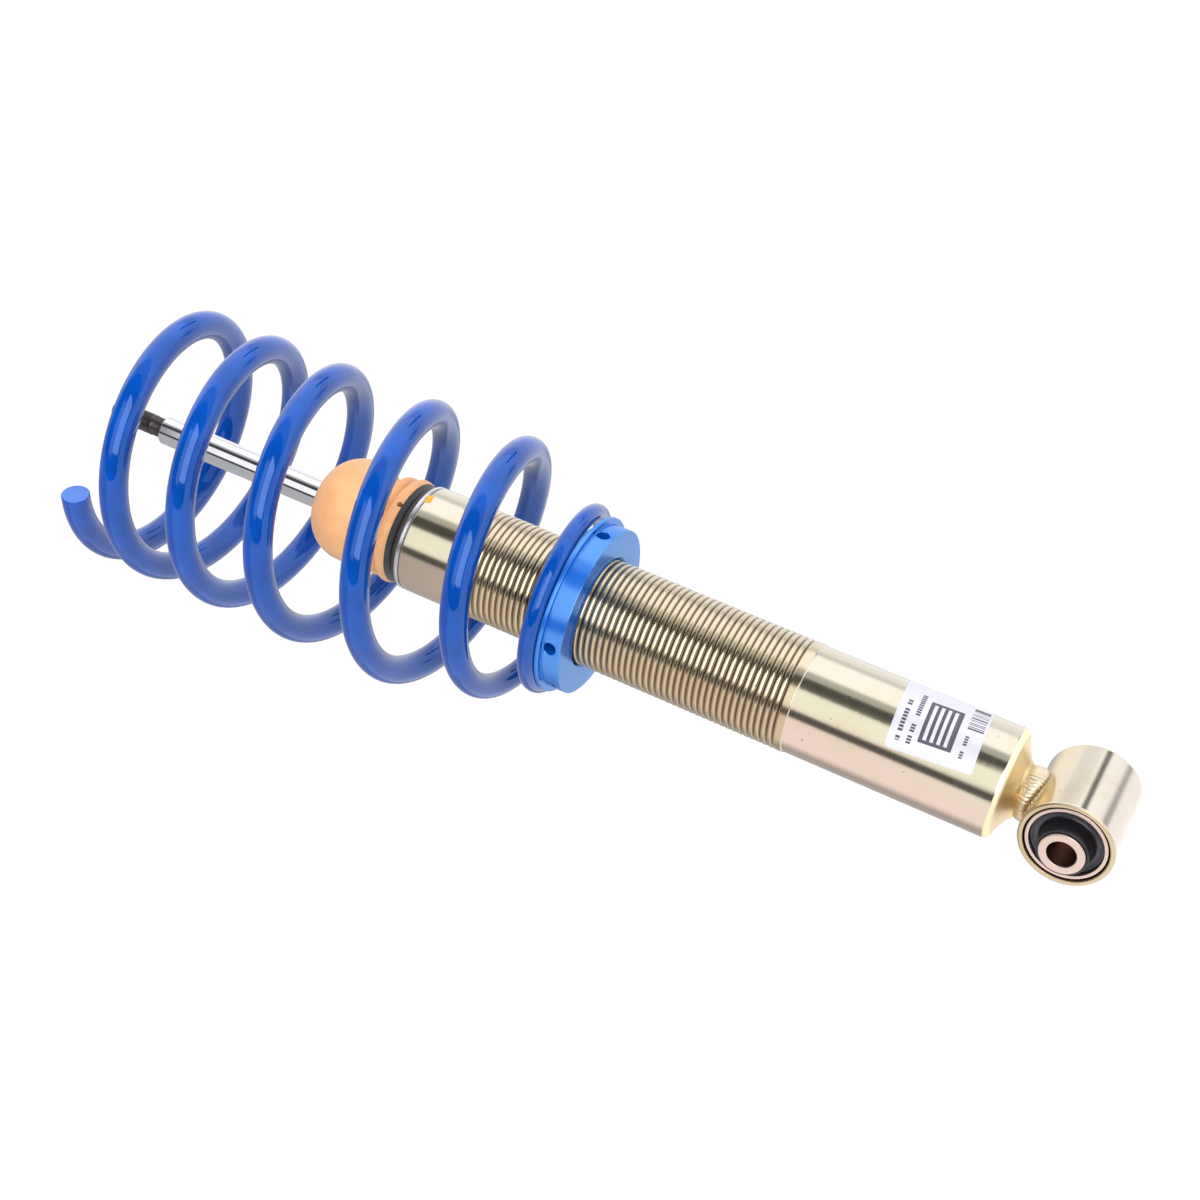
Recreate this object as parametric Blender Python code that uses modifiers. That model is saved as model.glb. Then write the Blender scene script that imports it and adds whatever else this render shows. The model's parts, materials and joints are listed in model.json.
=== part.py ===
"""Rear coilover strut: twin-tube damper with a threaded body, spring collar, coil spring and lower eye.

The frame is the damper's own: the origin is the centre of the lower eye, +Z runs up the strut's
axis to the piston rod, and the eye's bolt lies along Y. Metres throughout.
"""

import math

import bmesh
import bpy
from mathutils import Matrix

# --- Driving dimensions -------------------------------------------------------------------------
GAP = 0.0003                    # between pieces that touch
BASE_SEGMENTS = 40              # facets round a large turned piece
SMALL_SEGMENTS = 24             # facets round a small turned piece
ROUND_STEPS = 4                 # straight runs in a rounded corner

EYE_OUTER_D = 0.0412
EYE_WALL = 0.0024
EYE_LENGTH = 0.0452
EYE_CHAMFER = 0.0006
BUSH_SLEEVE_WALL = 0.0021
BUSH_SLEEVE_INSET = 0.0007      # the bush's outer sleeve ends this far inside the eye
RUBBER_INSET = 0.0025           # moulded face of the rubber, inside the sleeve's end
RUBBER_SKIN = 0.0009            # rubber round the part of the inner sleeve that stands proud
INNER_SLEEVE_BARE = 0.0010      # metal left showing past that skin
INNER_SLEEVE_D = 0.0198
INNER_SLEEVE_BORE = 0.0125
INNER_SLEEVE_LENGTH = 0.0584
INNER_SLEEVE_CHAMFER = 0.0006

NECK_D = 0.0186
NECK_HEIGHT = 0.0037            # between the eye and the closed end of the body tube
NECK_WELD_THROW = 0.0026

BODY_D = 0.0500
THREAD_RISE = 0.0004            # the thread's crests stand this far proud of the plain tube
TUBE_WALL = 0.0022
TUBE_FLOOR = 0.0024
CONE_TOP_INSET = 0.0022         # where the closed end's cone meets its rounded corner
CONE_HEIGHT = 0.0068
CORNER_HEIGHT = 0.0030
BODY_PLAIN_LENGTH = 0.0918      # from the rounded corner to the first thread
THREAD_LENGTH = 0.1650
HEAD_LENGTH = 0.0287            # smooth tube above the thread
LABEL_LENGTH = 0.0380
LABEL_HEIGHT = 0.0133           # above the rounded corner
LABEL_START_DEG = -61.0
LABEL_ARC_DEG = 139.5
LABEL_THICKNESS = 0.00025

ROD_D = 0.0140
ROD_CHAMFER = 0.0010
ROD_END_D = 0.0100
ROD_END_LENGTH = 0.0295
ROD_EXPOSED = 0.1465            # from the closure ring to the rod's shoulder, fully out
ROD_SOCKET_AF = 0.0050
ROD_SOCKET_DEPTH = 0.0060

CLOSURE_RIM = 0.0022
CLOSURE_SPIGOT = 0.0030
CLOSURE_LIP = 0.0050            # radial width left open round the rod
SEAL_HEIGHT = 0.0045
GUIDE_HEIGHT = 0.0080
GUIDE_SPIGOT = 0.0060
BUSHING_WALL = 0.0010

PRESSURE_TUBE_BORE = 0.0300
PRESSURE_TUBE_WALL = 0.0013
VALVE_PORT_SHARE = 0.62         # the base valve's ports, as a share of the pressure tube's radius
VALVE_SHIM_SHARE = 0.75
VALVE_BOLT_HEAD = 0.0021        # the bolt's head stands out this far round its shank
PISTON_HEIGHT = 0.0140
PISTON_CLEARANCE = 0.0006
BAND_HEIGHT = 0.0080
BAND_WALL = 0.0012
SHIM_STACK = 0.0030
REBOUND_STOP_HEIGHT = 0.0110
NUT_AF = 0.0160
NUT_HEIGHT = 0.0065
SPIGOT_D = 0.0100               # the rod's lower end, through the piston
BASE_FLANGE = 0.0080
BASE_SPIGOT = 0.0050
BASE_BOLT_D = 0.0060
PORT_D = 0.0024
PORT_COUNT = 6

STOP_SEAT_HEIGHT = 0.0024
STOP_HEIGHT = 0.0500
STOP_D = 0.0502
STOP_LIP_D = 0.0514
STOP_WAIST_D = 0.0400
STOP_TOP_FLAT_D = 0.0210
STOP_LIP_WIDTH = 0.0043
STOP_FOOT_INSET = 0.0056
# shares of the stop's height: the dome, the straight side's foot, the waist, and the two lower bulges
STOP_DOME = 0.34
STOP_SIDE_FOOT = 0.47
STOP_WAIST = (0.36, 0.075)      # (middle, half height)
STOP_BULGES = ((0.21, 0.052), (0.095, 0.062))

COLLAR_HEIGHT = 0.0106
COLLAR_WALL = 0.0139            # from the bore to the outside of the collar
COLLAR_ABOVE_THREAD_START = 0.1020
FLANGE_THICKNESS = 0.0018
FLANGE_OVERHANG = 0.0028
COLLAR_SPIGOT_WALL = 0.01065    # from the bore to the face that centres the spring
COLLAR_SPIGOT_HEIGHT = 0.0052
COLLAR_CHAMFER = 0.0012
SPANNER_HOLE_D = 0.0060
SPANNER_HOLE_DEPTH = 0.0090
SPANNER_HOLE_COUNT = 4
SPANNER_HOLE_DEG = 2.0
LOCK_SCREW_DEG = -127.0
LOCK_SCREW_D = 0.0050

WIRE_D = 0.0134
END_WIRE_D = 0.0084
SPRING_OUTER_D = 0.1318
SPRING_OFFSET = 0.0032          # the full coils sit this far off the end coil's centre
SPRING_OFFSET_DEG = -141.0
SPRING_END_DEG = 129.4          # where the lower tip points
SPRING_TURNS = 6.375
COIL_STEP_DEG = 15.0
REDUCING_TURNS = (0.65, 1.80)   # where the coil opens out from the small end
OFFSET_TURNS = (0.60, 2.10)
WIRE_TAPER_TURNS = (0.70, 1.60)
# (turns from the tip, pitch in metres per turn): the ends are closed and the middle is open
LOWER_PITCH = ((0.45, 0.000), (0.90, 0.040), (1.40, 0.043), (2.20, 0.0505), (3.00, 0.0525))
UPPER_PITCH = (
    (0.0, 0.012), (0.375, 0.019), (0.775, 0.031), (1.175, 0.039), (1.975, 0.036), (2.775, 0.047),
)

# --- Heights that follow from them --------------------------------------------------------------
EYE_R = EYE_OUTER_D / 2
BODY_R = BODY_D / 2
THREAD_R = BODY_R + THREAD_RISE
TUBE_BORE_R = BODY_R - TUBE_WALL
ROD_R = ROD_D / 2
NECK_R = NECK_D / 2
BODY_BASE_Z = EYE_R + NECK_HEIGHT
CONE_TOP_Z = BODY_BASE_Z + CONE_HEIGHT
CORNER_TOP_Z = CONE_TOP_Z + CORNER_HEIGHT
THREAD_START_Z = CORNER_TOP_Z + BODY_PLAIN_LENGTH
THREAD_END_Z = THREAD_START_Z + THREAD_LENGTH
TUBE_TOP_Z = THREAD_END_Z + HEAD_LENGTH
HEAD_Z = TUBE_TOP_Z + GAP + CLOSURE_RIM
SHOULDER_Z = HEAD_Z + ROD_EXPOSED
ROD_TOP_Z = SHOULDER_Z + ROD_END_LENGTH
SEAL_Z = TUBE_TOP_Z - CLOSURE_SPIGOT - GAP - SEAL_HEIGHT
GUIDE_Z = SEAL_Z - GAP - GUIDE_HEIGHT
GUIDE_FOOT_Z = GUIDE_Z - GUIDE_SPIGOT
REBOUND_STOP_Z = GUIDE_FOOT_Z - 2 * GAP - REBOUND_STOP_HEIGHT
ROD_FOOT_Z = REBOUND_STOP_Z - 4 * GAP
UPPER_SHIMS_Z = ROD_FOOT_Z - GAP - SHIM_STACK
PISTON_Z = UPPER_SHIMS_Z - GAP - PISTON_HEIGHT
LOWER_SHIMS_Z = PISTON_Z - GAP - SHIM_STACK
NUT_Z = LOWER_SHIMS_Z - GAP - NUT_HEIGHT
SPIGOT_FOOT_Z = NUT_Z - 2 * GAP
COLLAR_Z = THREAD_START_Z + COLLAR_ABOVE_THREAD_START
COLLAR_SEAT_Z = COLLAR_Z + COLLAR_HEIGHT
END_COIL_Z = COLLAR_SEAT_Z + GAP + END_WIRE_D / 2
COLLAR_BORE_R = THREAD_R + GAP
COLLAR_R = COLLAR_BORE_R + COLLAR_WALL
SPIGOT_R = COLLAR_BORE_R + COLLAR_SPIGOT_WALL
END_COIL_R = (SPIGOT_R + GAP + END_WIRE_D / 2) / math.cos(math.radians(COIL_STEP_DEG) / 2)
STOP_SEAT_Z = HEAD_Z + GAP
STOP_Z = STOP_SEAT_Z + STOP_SEAT_HEIGHT + GAP

COLOURS = {
    "zinc_gold": ((0.72, 0.60, 0.36), 0.28, 1.0),
    "zinc_pink": ((0.80, 0.62, 0.52), 0.35, 1.0),
    "closure_steel": ((0.62, 0.63, 0.68), 0.30, 1.0),
    "spring_blue": ((0.01, 0.07, 0.55), 0.15, 0.0),
    "collar_blue": ((0.01, 0.16, 0.75), 0.30, 1.0),
    "rod_chrome": ((0.86, 0.87, 0.90), 0.06, 1.0),
    "rubber": ((0.02, 0.02, 0.025), 0.70, 0.0),
    "stop_foam": ((0.90, 0.50, 0.30), 0.60, 0.0),
    "label_film": ((0.82, 0.82, 0.88), 0.40, 0.0),
    "steel": ((0.50, 0.50, 0.51), 0.40, 1.0),
    "weld": ((0.66, 0.52, 0.28), 0.45, 1.0),
    "plastic_dark": ((0.03, 0.03, 0.03), 0.50, 0.0),
    "bronze": ((0.60, 0.42, 0.22), 0.40, 1.0),
}


def start_scene():
    for old in list(bpy.data.objects):
        bpy.data.objects.remove(old, do_unlink=True)


def make_collection(name):
    made = bpy.data.collections.new(name)
    bpy.context.scene.collection.children.link(made)
    return made


def make_material(name):
    colour, roughness, metallic = COLOURS[name]
    material = bpy.data.materials.new(name)
    material.use_nodes = True
    shader = material.node_tree.nodes["Principled BSDF"]
    shader.inputs["Base Color"].default_value = (*colour, 1.0)
    shader.inputs["Roughness"].default_value = roughness
    shader.inputs["Metallic"].default_value = metallic
    return material


def arc(centre, radius, start_deg, end_deg, steps=ROUND_STEPS):
    """Points (r, z) of a rounded corner, radius being one number or one along r and one along z."""
    across, along = radius if isinstance(radius, tuple) else (radius, radius)
    angles = [math.radians(start_deg + (end_deg - start_deg) * i / steps) for i in range(steps + 1)]
    return [(centre[0] + across * math.cos(a), centre[1] + along * math.sin(a)) for a in angles]


def add_screw(piece, segments, angle_deg=360.0):
    turn = piece.modifiers.new("turn", "SCREW")
    turn.axis = "Z"
    turn.angle = math.radians(angle_deg)
    turn.steps = turn.render_steps = segments
    turn.use_merge_vertices = angle_deg == 360.0
    turn.merge_threshold = 0.00001
    turn.use_smooth_shade = True


def turned(name, outline, material, base_z=0.0, segments=BASE_SEGMENTS):
    """A turned piece. Its outline (r, z) runs down its outer side, and closes unless it ends on the axis."""
    closed = outline[0][0] > 0
    count = len(outline)
    edges = [(i, (i + 1) % count) for i in range(count if closed else count - 1)]
    mesh = bpy.data.meshes.new(name)
    mesh.from_pydata([(r, 0.0, z) for r, z in outline], edges, [])
    piece = bpy.data.objects.new(name, mesh)
    parts.objects.link(piece)
    piece.location.z = base_z
    mesh.materials.append(materials[material])
    add_screw(piece, segments)
    return piece


def ring(name, inner_r, outer_r, height, material, base_z, chamfer=0.0, segments=BASE_SEGMENTS):
    """A plain turned ring standing on base_z, with its outer edges chamfered."""
    outline = [(inner_r, height), (outer_r - chamfer, height), (outer_r, height - chamfer)]
    outline += [(outer_r, chamfer), (outer_r - chamfer, 0.0), (inner_r, 0.0)]
    if not chamfer:
        outline = [(inner_r, height), (outer_r, height), (outer_r, 0.0), (inner_r, 0.0)]
    return turned(name, outline, material, base_z, segments)


def lay_along_y(piece):
    piece.rotation_euler.x = math.radians(90)


def make_cutter(name, rods):
    """One hidden mesh of closed rods, each (radius, length, matrix, facets)."""
    shape = bmesh.new()
    for radius, length, place, facets in rods:
        bmesh.ops.create_cone(
            shape, cap_ends=True, segments=facets, radius1=radius, radius2=radius, depth=length,
            matrix=place,
        )
    mesh = bpy.data.meshes.new(name)
    shape.to_mesh(mesh)
    shape.free()
    cutter = bpy.data.objects.new(name, mesh)
    cutter.hide_render = True
    cutter.display_type = "WIRE"
    cutters.objects.link(cutter)
    return cutter


def cut(piece, cutter):
    hole = piece.modifiers.new("cut", "BOOLEAN")
    hole.operation = "DIFFERENCE"
    hole.object = cutter


def radial_rod(radius, length, deg, middle_r, z, facets=16):
    """A rod across the strut's axis, its middle at middle_r."""
    turn = Matrix.Rotation(math.radians(deg), 4, "Z")
    tip = Matrix.Rotation(math.radians(90), 4, "Y")
    return radius, length, turn @ Matrix.Translation((middle_r, 0, z)) @ tip, facets


def port_rods(circle_r, z, length):
    """Flow ports on a circle, along the strut's axis."""
    rods = []
    for i in range(PORT_COUNT):
        turn = Matrix.Rotation(2 * math.pi * i / PORT_COUNT, 4, "Z")
        rods.append((PORT_D / 2, length, turn @ Matrix.Translation((circle_r, 0, z)), 10))
    return rods


# --- Lower eye ----------------------------------------------------------------------------------
def make_eye():
    eye_bore_r = EYE_R - EYE_WALL
    half = EYE_LENGTH / 2
    eye = ring("eye_ring", eye_bore_r, EYE_R, EYE_LENGTH, "zinc_gold", 0.0, EYE_CHAMFER)
    lay_along_y(eye)
    eye.location.y = half

    sleeve_outer_r = eye_bore_r - GAP
    sleeve_inner_r = sleeve_outer_r - BUSH_SLEEVE_WALL
    sleeve_half = half - BUSH_SLEEVE_INSET
    sleeve = ring("bush_outer_sleeve", sleeve_inner_r, sleeve_outer_r, 2 * sleeve_half, "zinc_pink", 0.0)
    lay_along_y(sleeve)
    sleeve.location.y = sleeve_half

    inner_r = INNER_SLEEVE_D / 2
    inner = turned(
        "inner_sleeve",
        [
            (INNER_SLEEVE_BORE / 2, INNER_SLEEVE_LENGTH),
            (inner_r - INNER_SLEEVE_CHAMFER, INNER_SLEEVE_LENGTH),
            (inner_r, INNER_SLEEVE_LENGTH - INNER_SLEEVE_CHAMFER),
            (inner_r, INNER_SLEEVE_CHAMFER),
            (inner_r - INNER_SLEEVE_CHAMFER, 0.0),
            (INNER_SLEEVE_BORE / 2, 0.0),
        ],
        "zinc_pink", segments=SMALL_SEGMENTS,
    )
    lay_along_y(inner)
    inner.location.y = INNER_SLEEVE_LENGTH / 2
    make_rubber(inner_r + GAP, sleeve_inner_r - GAP, sleeve_half - RUBBER_INSET)


def make_rubber(inner_r, outer_r, half):
    """Rubber between the sleeves, with a thin skin that runs out along the inner sleeve."""
    skin_r = inner_r + RUBBER_SKIN
    skin_end = INNER_SLEEVE_LENGTH / 2 - INNER_SLEEVE_BARE
    upper = [(inner_r, skin_end), (skin_r, skin_end), (skin_r, half), (outer_r, half)]
    lower = [(r, -z) for r, z in reversed(upper)]
    rubber = turned("rubber_bush", upper + lower, "rubber", segments=BASE_SEGMENTS)
    lay_along_y(rubber)


def make_neck():
    """Short neck from the eye to the body tube, saddle-cut to the eye, with its weld bead."""
    neck_height = BODY_BASE_Z - GAP
    neck = turned("eye_neck", [(0, neck_height), (NECK_R, neck_height), (NECK_R, 0), (0, 0)],
                  "zinc_gold", segments=SMALL_SEGMENTS)
    across = Matrix.Rotation(math.radians(90), 4, "X")
    cut(neck, make_cutter("eye_saddle", [(EYE_R + GAP, 2 * EYE_LENGTH, across, 64)]))

    bead_inner_r = NECK_R + GAP
    bead_half = (BODY_BASE_Z - EYE_R) / 2 - GAP
    bead_z = (BODY_BASE_Z + EYE_R) / 2
    bead = arc((bead_inner_r, 0), (NECK_WELD_THROW, bead_half), 90, -90, 6)
    turned("neck_weld", bead, "weld", bead_z, SMALL_SEGMENTS)


# --- Body tube ----------------------------------------------------------------------------------
def make_body_tube():
    """Outer tube, closed below by its own cone, threaded outside, with a smooth head."""
    cone_foot_r = NECK_R + NECK_WELD_THROW
    corner_r = BODY_R - CONE_TOP_INSET
    inner_top_r = TUBE_BORE_R - CONE_TOP_INSET / 2
    outline = [(0, BODY_BASE_Z + TUBE_FLOOR), (cone_foot_r - TUBE_FLOOR / 2, BODY_BASE_Z + TUBE_FLOOR)]
    outline += [(inner_top_r, CONE_TOP_Z + TUBE_FLOOR), (TUBE_BORE_R, CORNER_TOP_Z + TUBE_FLOOR / 2)]
    outline += [(TUBE_BORE_R, TUBE_TOP_Z), (BODY_R, TUBE_TOP_Z), (THREAD_R, TUBE_TOP_Z - THREAD_RISE)]
    outline += [(THREAD_R, THREAD_START_Z + THREAD_RISE), (BODY_R, THREAD_START_Z)]
    outline += arc((corner_r, CORNER_TOP_Z), (CONE_TOP_INSET, CORNER_HEIGHT), 0, -70)
    outline += [(cone_foot_r, BODY_BASE_Z + GAP), (cone_foot_r - GAP, BODY_BASE_Z), (0, BODY_BASE_Z)]
    turned("outer_tube", outline, "zinc_gold")


def make_label():
    """Thin blank sticker round part of the smooth body."""
    mesh = bpy.data.meshes.new("label")
    radius = BODY_R + GAP
    mesh.from_pydata([(radius, 0, LABEL_LENGTH), (radius, 0, 0)], [(0, 1)], [])
    label = bpy.data.objects.new("label", mesh)
    parts.objects.link(label)
    label.location.z = CORNER_TOP_Z + LABEL_HEIGHT
    label.rotation_euler.z = math.radians(LABEL_START_DEG)
    mesh.materials.append(materials["label_film"])
    add_screw(label, 20, LABEL_ARC_DEG)
    film = label.modifiers.new("film", "SOLIDIFY")
    film.thickness = LABEL_THICKNESS
    film.offset = 1.0


def make_damper_inside():
    """Pressure tube, base valve, rod guide, seal and closure."""
    tube_r = PRESSURE_TUBE_BORE / 2
    tube_outer_r = tube_r + PRESSURE_TUBE_WALL
    guide_r = TUBE_BORE_R - GAP
    cone_slope = CONE_HEIGHT / (TUBE_BORE_R - CONE_TOP_INSET / 2 - NECK_R - NECK_WELD_THROW + TUBE_FLOOR / 2)
    foot_rise = max(0.0, tube_outer_r - NECK_R - NECK_WELD_THROW + TUBE_FLOOR / 2) * cone_slope
    base_z = BODY_BASE_Z + TUBE_FLOOR + foot_rise + 2 * GAP
    seat_z = base_z + BASE_FLANGE
    bolt_r = BASE_BOLT_D / 2

    base = turned(
        "base_valve",
        [
            (bolt_r + GAP, seat_z + BASE_SPIGOT), (tube_r - GAP, seat_z + BASE_SPIGOT),
            (tube_r - GAP, seat_z), (tube_outer_r, seat_z), (tube_outer_r, base_z),
            (bolt_r + GAP, base_z),
        ],
        "steel",
    )
    port_r = VALVE_PORT_SHARE * tube_r
    middle_z = (base_z + seat_z + BASE_SPIGOT) / 2
    cut(base, make_cutter("base_ports", port_rods(port_r, middle_z, 2 * (BASE_FLANGE + BASE_SPIGOT))))
    shims_z = seat_z + BASE_SPIGOT + GAP
    ring("base_valve_shims", bolt_r + GAP, VALVE_SHIM_SHARE * tube_r, SHIM_STACK / 2, "steel", shims_z,
         segments=SMALL_SEGMENTS)
    head_z = shims_z + SHIM_STACK / 2 + GAP
    head_r = bolt_r + VALVE_BOLT_HEAD
    turned(
        "base_valve_bolt",
        [
            (0, head_z + bolt_r), (head_r, head_z + bolt_r), (head_r, head_z),
            (bolt_r, head_z), (bolt_r, base_z + BASE_FLANGE / 2), (0, base_z + BASE_FLANGE / 2),
        ],
        "steel", segments=SMALL_SEGMENTS,
    )
    ring("pressure_tube", tube_r, tube_outer_r, GUIDE_Z - seat_z - 2 * GAP, "steel", seat_z + GAP)

    bushing_outer_r = ROD_R + GAP + BUSHING_WALL
    guide_bore_r = bushing_outer_r + GAP
    turned(
        "rod_guide",
        [
            (guide_bore_r, GUIDE_Z + GUIDE_HEIGHT), (guide_r, GUIDE_Z + GUIDE_HEIGHT),
            (guide_r, GUIDE_Z), (tube_r - GAP, GUIDE_Z), (tube_r - GAP, GUIDE_FOOT_Z),
            (guide_bore_r, GUIDE_FOOT_Z),
        ],
        "steel",
    )
    ring("guide_bushing", ROD_R + GAP, bushing_outer_r, GUIDE_HEIGHT + GUIDE_SPIGOT, "bronze",
         GUIDE_FOOT_Z, segments=SMALL_SEGMENTS)
    ring("rod_seal", ROD_R + GAP, guide_r, SEAL_HEIGHT, "rubber", SEAL_Z)

    open_r = ROD_R + CLOSURE_LIP
    rim = CLOSURE_RIM / 2
    spigot_z = TUBE_TOP_Z - CLOSURE_SPIGOT
    closure = [(open_r, HEAD_Z)] + arc((THREAD_R - rim, HEAD_Z - rim), rim, 90, 0, 4)
    closure += [(THREAD_R, TUBE_TOP_Z + GAP), (guide_r, TUBE_TOP_Z + GAP), (guide_r, spigot_z)]
    closure += [(open_r, spigot_z)]
    turned("closure_ring", closure, "closure_steel")


# --- Rod and piston -----------------------------------------------------------------------------
def make_rod():
    end_r = ROD_END_D / 2
    foot_r = SPIGOT_D / 2
    chamfer = min(ROD_CHAMFER, (ROD_R - end_r) / 2)
    rod = turned(
        "piston_rod",
        [
            (0, ROD_TOP_Z), (end_r - ROD_CHAMFER, ROD_TOP_Z), (end_r, ROD_TOP_Z - ROD_CHAMFER),
            (end_r, SHOULDER_Z), (ROD_R - chamfer, SHOULDER_Z), (ROD_R, SHOULDER_Z - chamfer),
            (ROD_R, ROD_FOOT_Z), (foot_r, ROD_FOOT_Z), (foot_r, SPIGOT_FOOT_Z), (0, SPIGOT_FOOT_Z),
        ],
        "rod_chrome", segments=SMALL_SEGMENTS,
    )
    socket_r = ROD_SOCKET_AF / 2 / math.cos(math.pi / 6)
    socket_place = Matrix.Translation((0, 0, ROD_TOP_Z))
    cut(rod, make_cutter("hex_socket", [(socket_r, 2 * ROD_SOCKET_DEPTH, socket_place, 6)]))

    bore_r = foot_r + GAP
    tube_r = PRESSURE_TUBE_BORE / 2
    piston_r = tube_r - PISTON_CLEARANCE
    band_r = tube_r - GAP
    band_inner_r = band_r - BAND_WALL
    groove_r = band_inner_r - GAP
    groove_edge = (PISTON_HEIGHT - BAND_HEIGHT) / 2 - GAP
    piston = turned(
        "piston",
        [
            (bore_r, PISTON_HEIGHT), (piston_r, PISTON_HEIGHT), (piston_r, PISTON_HEIGHT - groove_edge),
            (groove_r, PISTON_HEIGHT - groove_edge), (groove_r, groove_edge), (piston_r, groove_edge),
            (piston_r, 0), (bore_r, 0),
        ],
        "steel", PISTON_Z,
    )
    port_circle_r = (bore_r + groove_r) / 2
    ports = port_rods(port_circle_r, PISTON_Z + PISTON_HEIGHT / 2, 2 * PISTON_HEIGHT)
    cut(piston, make_cutter("piston_ports", ports))
    ring("piston_band", band_inner_r, band_r, BAND_HEIGHT, "plastic_dark",
         PISTON_Z + groove_edge + GAP)
    shim_r = port_circle_r + PORT_D
    ring("rebound_shims", bore_r, shim_r, SHIM_STACK, "steel", UPPER_SHIMS_Z, segments=SMALL_SEGMENTS)
    ring("compression_shims", bore_r, shim_r, SHIM_STACK, "steel", LOWER_SHIMS_Z, segments=SMALL_SEGMENTS)
    make_nut(bore_r)
    ring("rebound_stop", ROD_R + GAP, (ROD_R + tube_r) / 2, REBOUND_STOP_HEIGHT, "stop_foam",
         REBOUND_STOP_Z, chamfer=0.001, segments=SMALL_SEGMENTS)


def make_nut(bore_r):
    shape = bmesh.new()
    corner_r = NUT_AF / 2 / math.cos(math.pi / 6)
    bmesh.ops.create_cone(shape, cap_ends=True, segments=6, radius1=corner_r, radius2=corner_r,
                          depth=NUT_HEIGHT)
    mesh = bpy.data.meshes.new("piston_nut")
    shape.to_mesh(mesh)
    shape.free()
    nut = bpy.data.objects.new("piston_nut", mesh)
    parts.objects.link(nut)
    nut.location.z = NUT_Z + NUT_HEIGHT / 2
    mesh.materials.append(materials["steel"])
    place = Matrix.Translation((0, 0, NUT_Z + NUT_HEIGHT / 2))
    cut(nut, make_cutter("nut_bore", [(bore_r, 2 * NUT_HEIGHT, place, 24)]))


# --- Bump stop ----------------------------------------------------------------------------------
def make_bump_stop():
    bore_r = ROD_R + GAP
    lip_r = STOP_LIP_D / 2
    top_r = STOP_D / 2
    waist_r = STOP_WAIST_D / 2
    flat_r = STOP_TOP_FLAT_D / 2
    dome = STOP_DOME * STOP_HEIGHT
    ring("bump_stop_seat", bore_r, lip_r - STOP_LIP_WIDTH / 2, STOP_SEAT_HEIGHT, "plastic_dark", STOP_SEAT_Z)
    waist_z, waist_half = (share * STOP_HEIGHT for share in STOP_WAIST)
    outline = [(bore_r, STOP_HEIGHT), (flat_r, STOP_HEIGHT)]
    outline += arc((flat_r, STOP_HEIGHT - dome), (top_r - flat_r, dome), 80, 0, 5)
    outline += [(top_r, STOP_SIDE_FOOT * STOP_HEIGHT)]
    outline += arc((top_r, waist_z), (top_r - waist_r, waist_half), 110, 250, 4)
    for middle, half in STOP_BULGES:
        centre = (lip_r - STOP_LIP_WIDTH, middle * STOP_HEIGHT)
        outline += arc(centre, (STOP_LIP_WIDTH, half * STOP_HEIGHT), 55, -55, 3)
    outline += [(lip_r - STOP_FOOT_INSET, 0), (bore_r, 0)]
    turned("bump_stop", outline, "stop_foam", STOP_Z)


# --- Collar and spring --------------------------------------------------------------------------
def make_collar():
    bore_r = COLLAR_BORE_R
    flange_r = COLLAR_R + FLANGE_OVERHANG
    c = COLLAR_CHAMFER
    top = COLLAR_HEIGHT + COLLAR_SPIGOT_HEIGHT
    collar = turned(
        "spring_collar",
        [
            (bore_r + c, top), (SPIGOT_R - c, top), (SPIGOT_R, top - c), (SPIGOT_R, COLLAR_HEIGHT),
            (flange_r, COLLAR_HEIGHT), (flange_r, COLLAR_HEIGHT - FLANGE_THICKNESS),
            (COLLAR_R, COLLAR_HEIGHT - FLANGE_THICKNESS), (COLLAR_R, c / 3), (COLLAR_R - c / 3, 0),
            (bore_r + c, 0), (bore_r, c), (bore_r, top - c),
        ],
        "collar_blue", COLLAR_Z, segments=48,
    )
    hole_z = COLLAR_Z + COLLAR_HEIGHT / 2
    holes = [
        radial_rod(SPANNER_HOLE_D / 2, 2 * SPANNER_HOLE_DEPTH,
                   SPANNER_HOLE_DEG + 360 * i / SPANNER_HOLE_COUNT, COLLAR_R, hole_z)
        for i in range(SPANNER_HOLE_COUNT)
    ]
    screw_r = LOCK_SCREW_D / 2
    middle_r = (COLLAR_R + bore_r) / 2
    holes.append(radial_rod(screw_r + GAP, 2 * COLLAR_WALL, LOCK_SCREW_DEG, middle_r, hole_z))
    cut(collar, make_cutter("collar_holes", holes))

    screw_length = COLLAR_WALL - 4 * GAP
    shape = bmesh.new()
    _, _, place, facets = radial_rod(screw_r, screw_length, LOCK_SCREW_DEG, middle_r + GAP, 0)
    bmesh.ops.create_cone(shape, cap_ends=True, segments=facets, radius1=screw_r, radius2=screw_r,
                          depth=screw_length, matrix=place)
    mesh = bpy.data.meshes.new("lock_screw")
    shape.to_mesh(mesh)
    shape.free()
    screw = bpy.data.objects.new("lock_screw", mesh)
    parts.objects.link(screw)
    screw.location.z = hole_z
    mesh.materials.append(materials["steel"])


def smooth_step(value, low, high):
    share = min(1.0, max(0.0, (value - low) / (high - low)))
    return share * share * (3 - 2 * share)


def pitch_at(turn):
    stations = sorted(LOWER_PITCH + tuple((SPRING_TURNS - below, pitch) for below, pitch in UPPER_PITCH))
    before = stations[0]
    for station in stations:
        if turn <= station[0]:
            share = (turn - before[0]) / max(station[0] - before[0], GAP)
            return before[1] + share * (station[1] - before[1])
        before = station
    return before[1]


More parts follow.
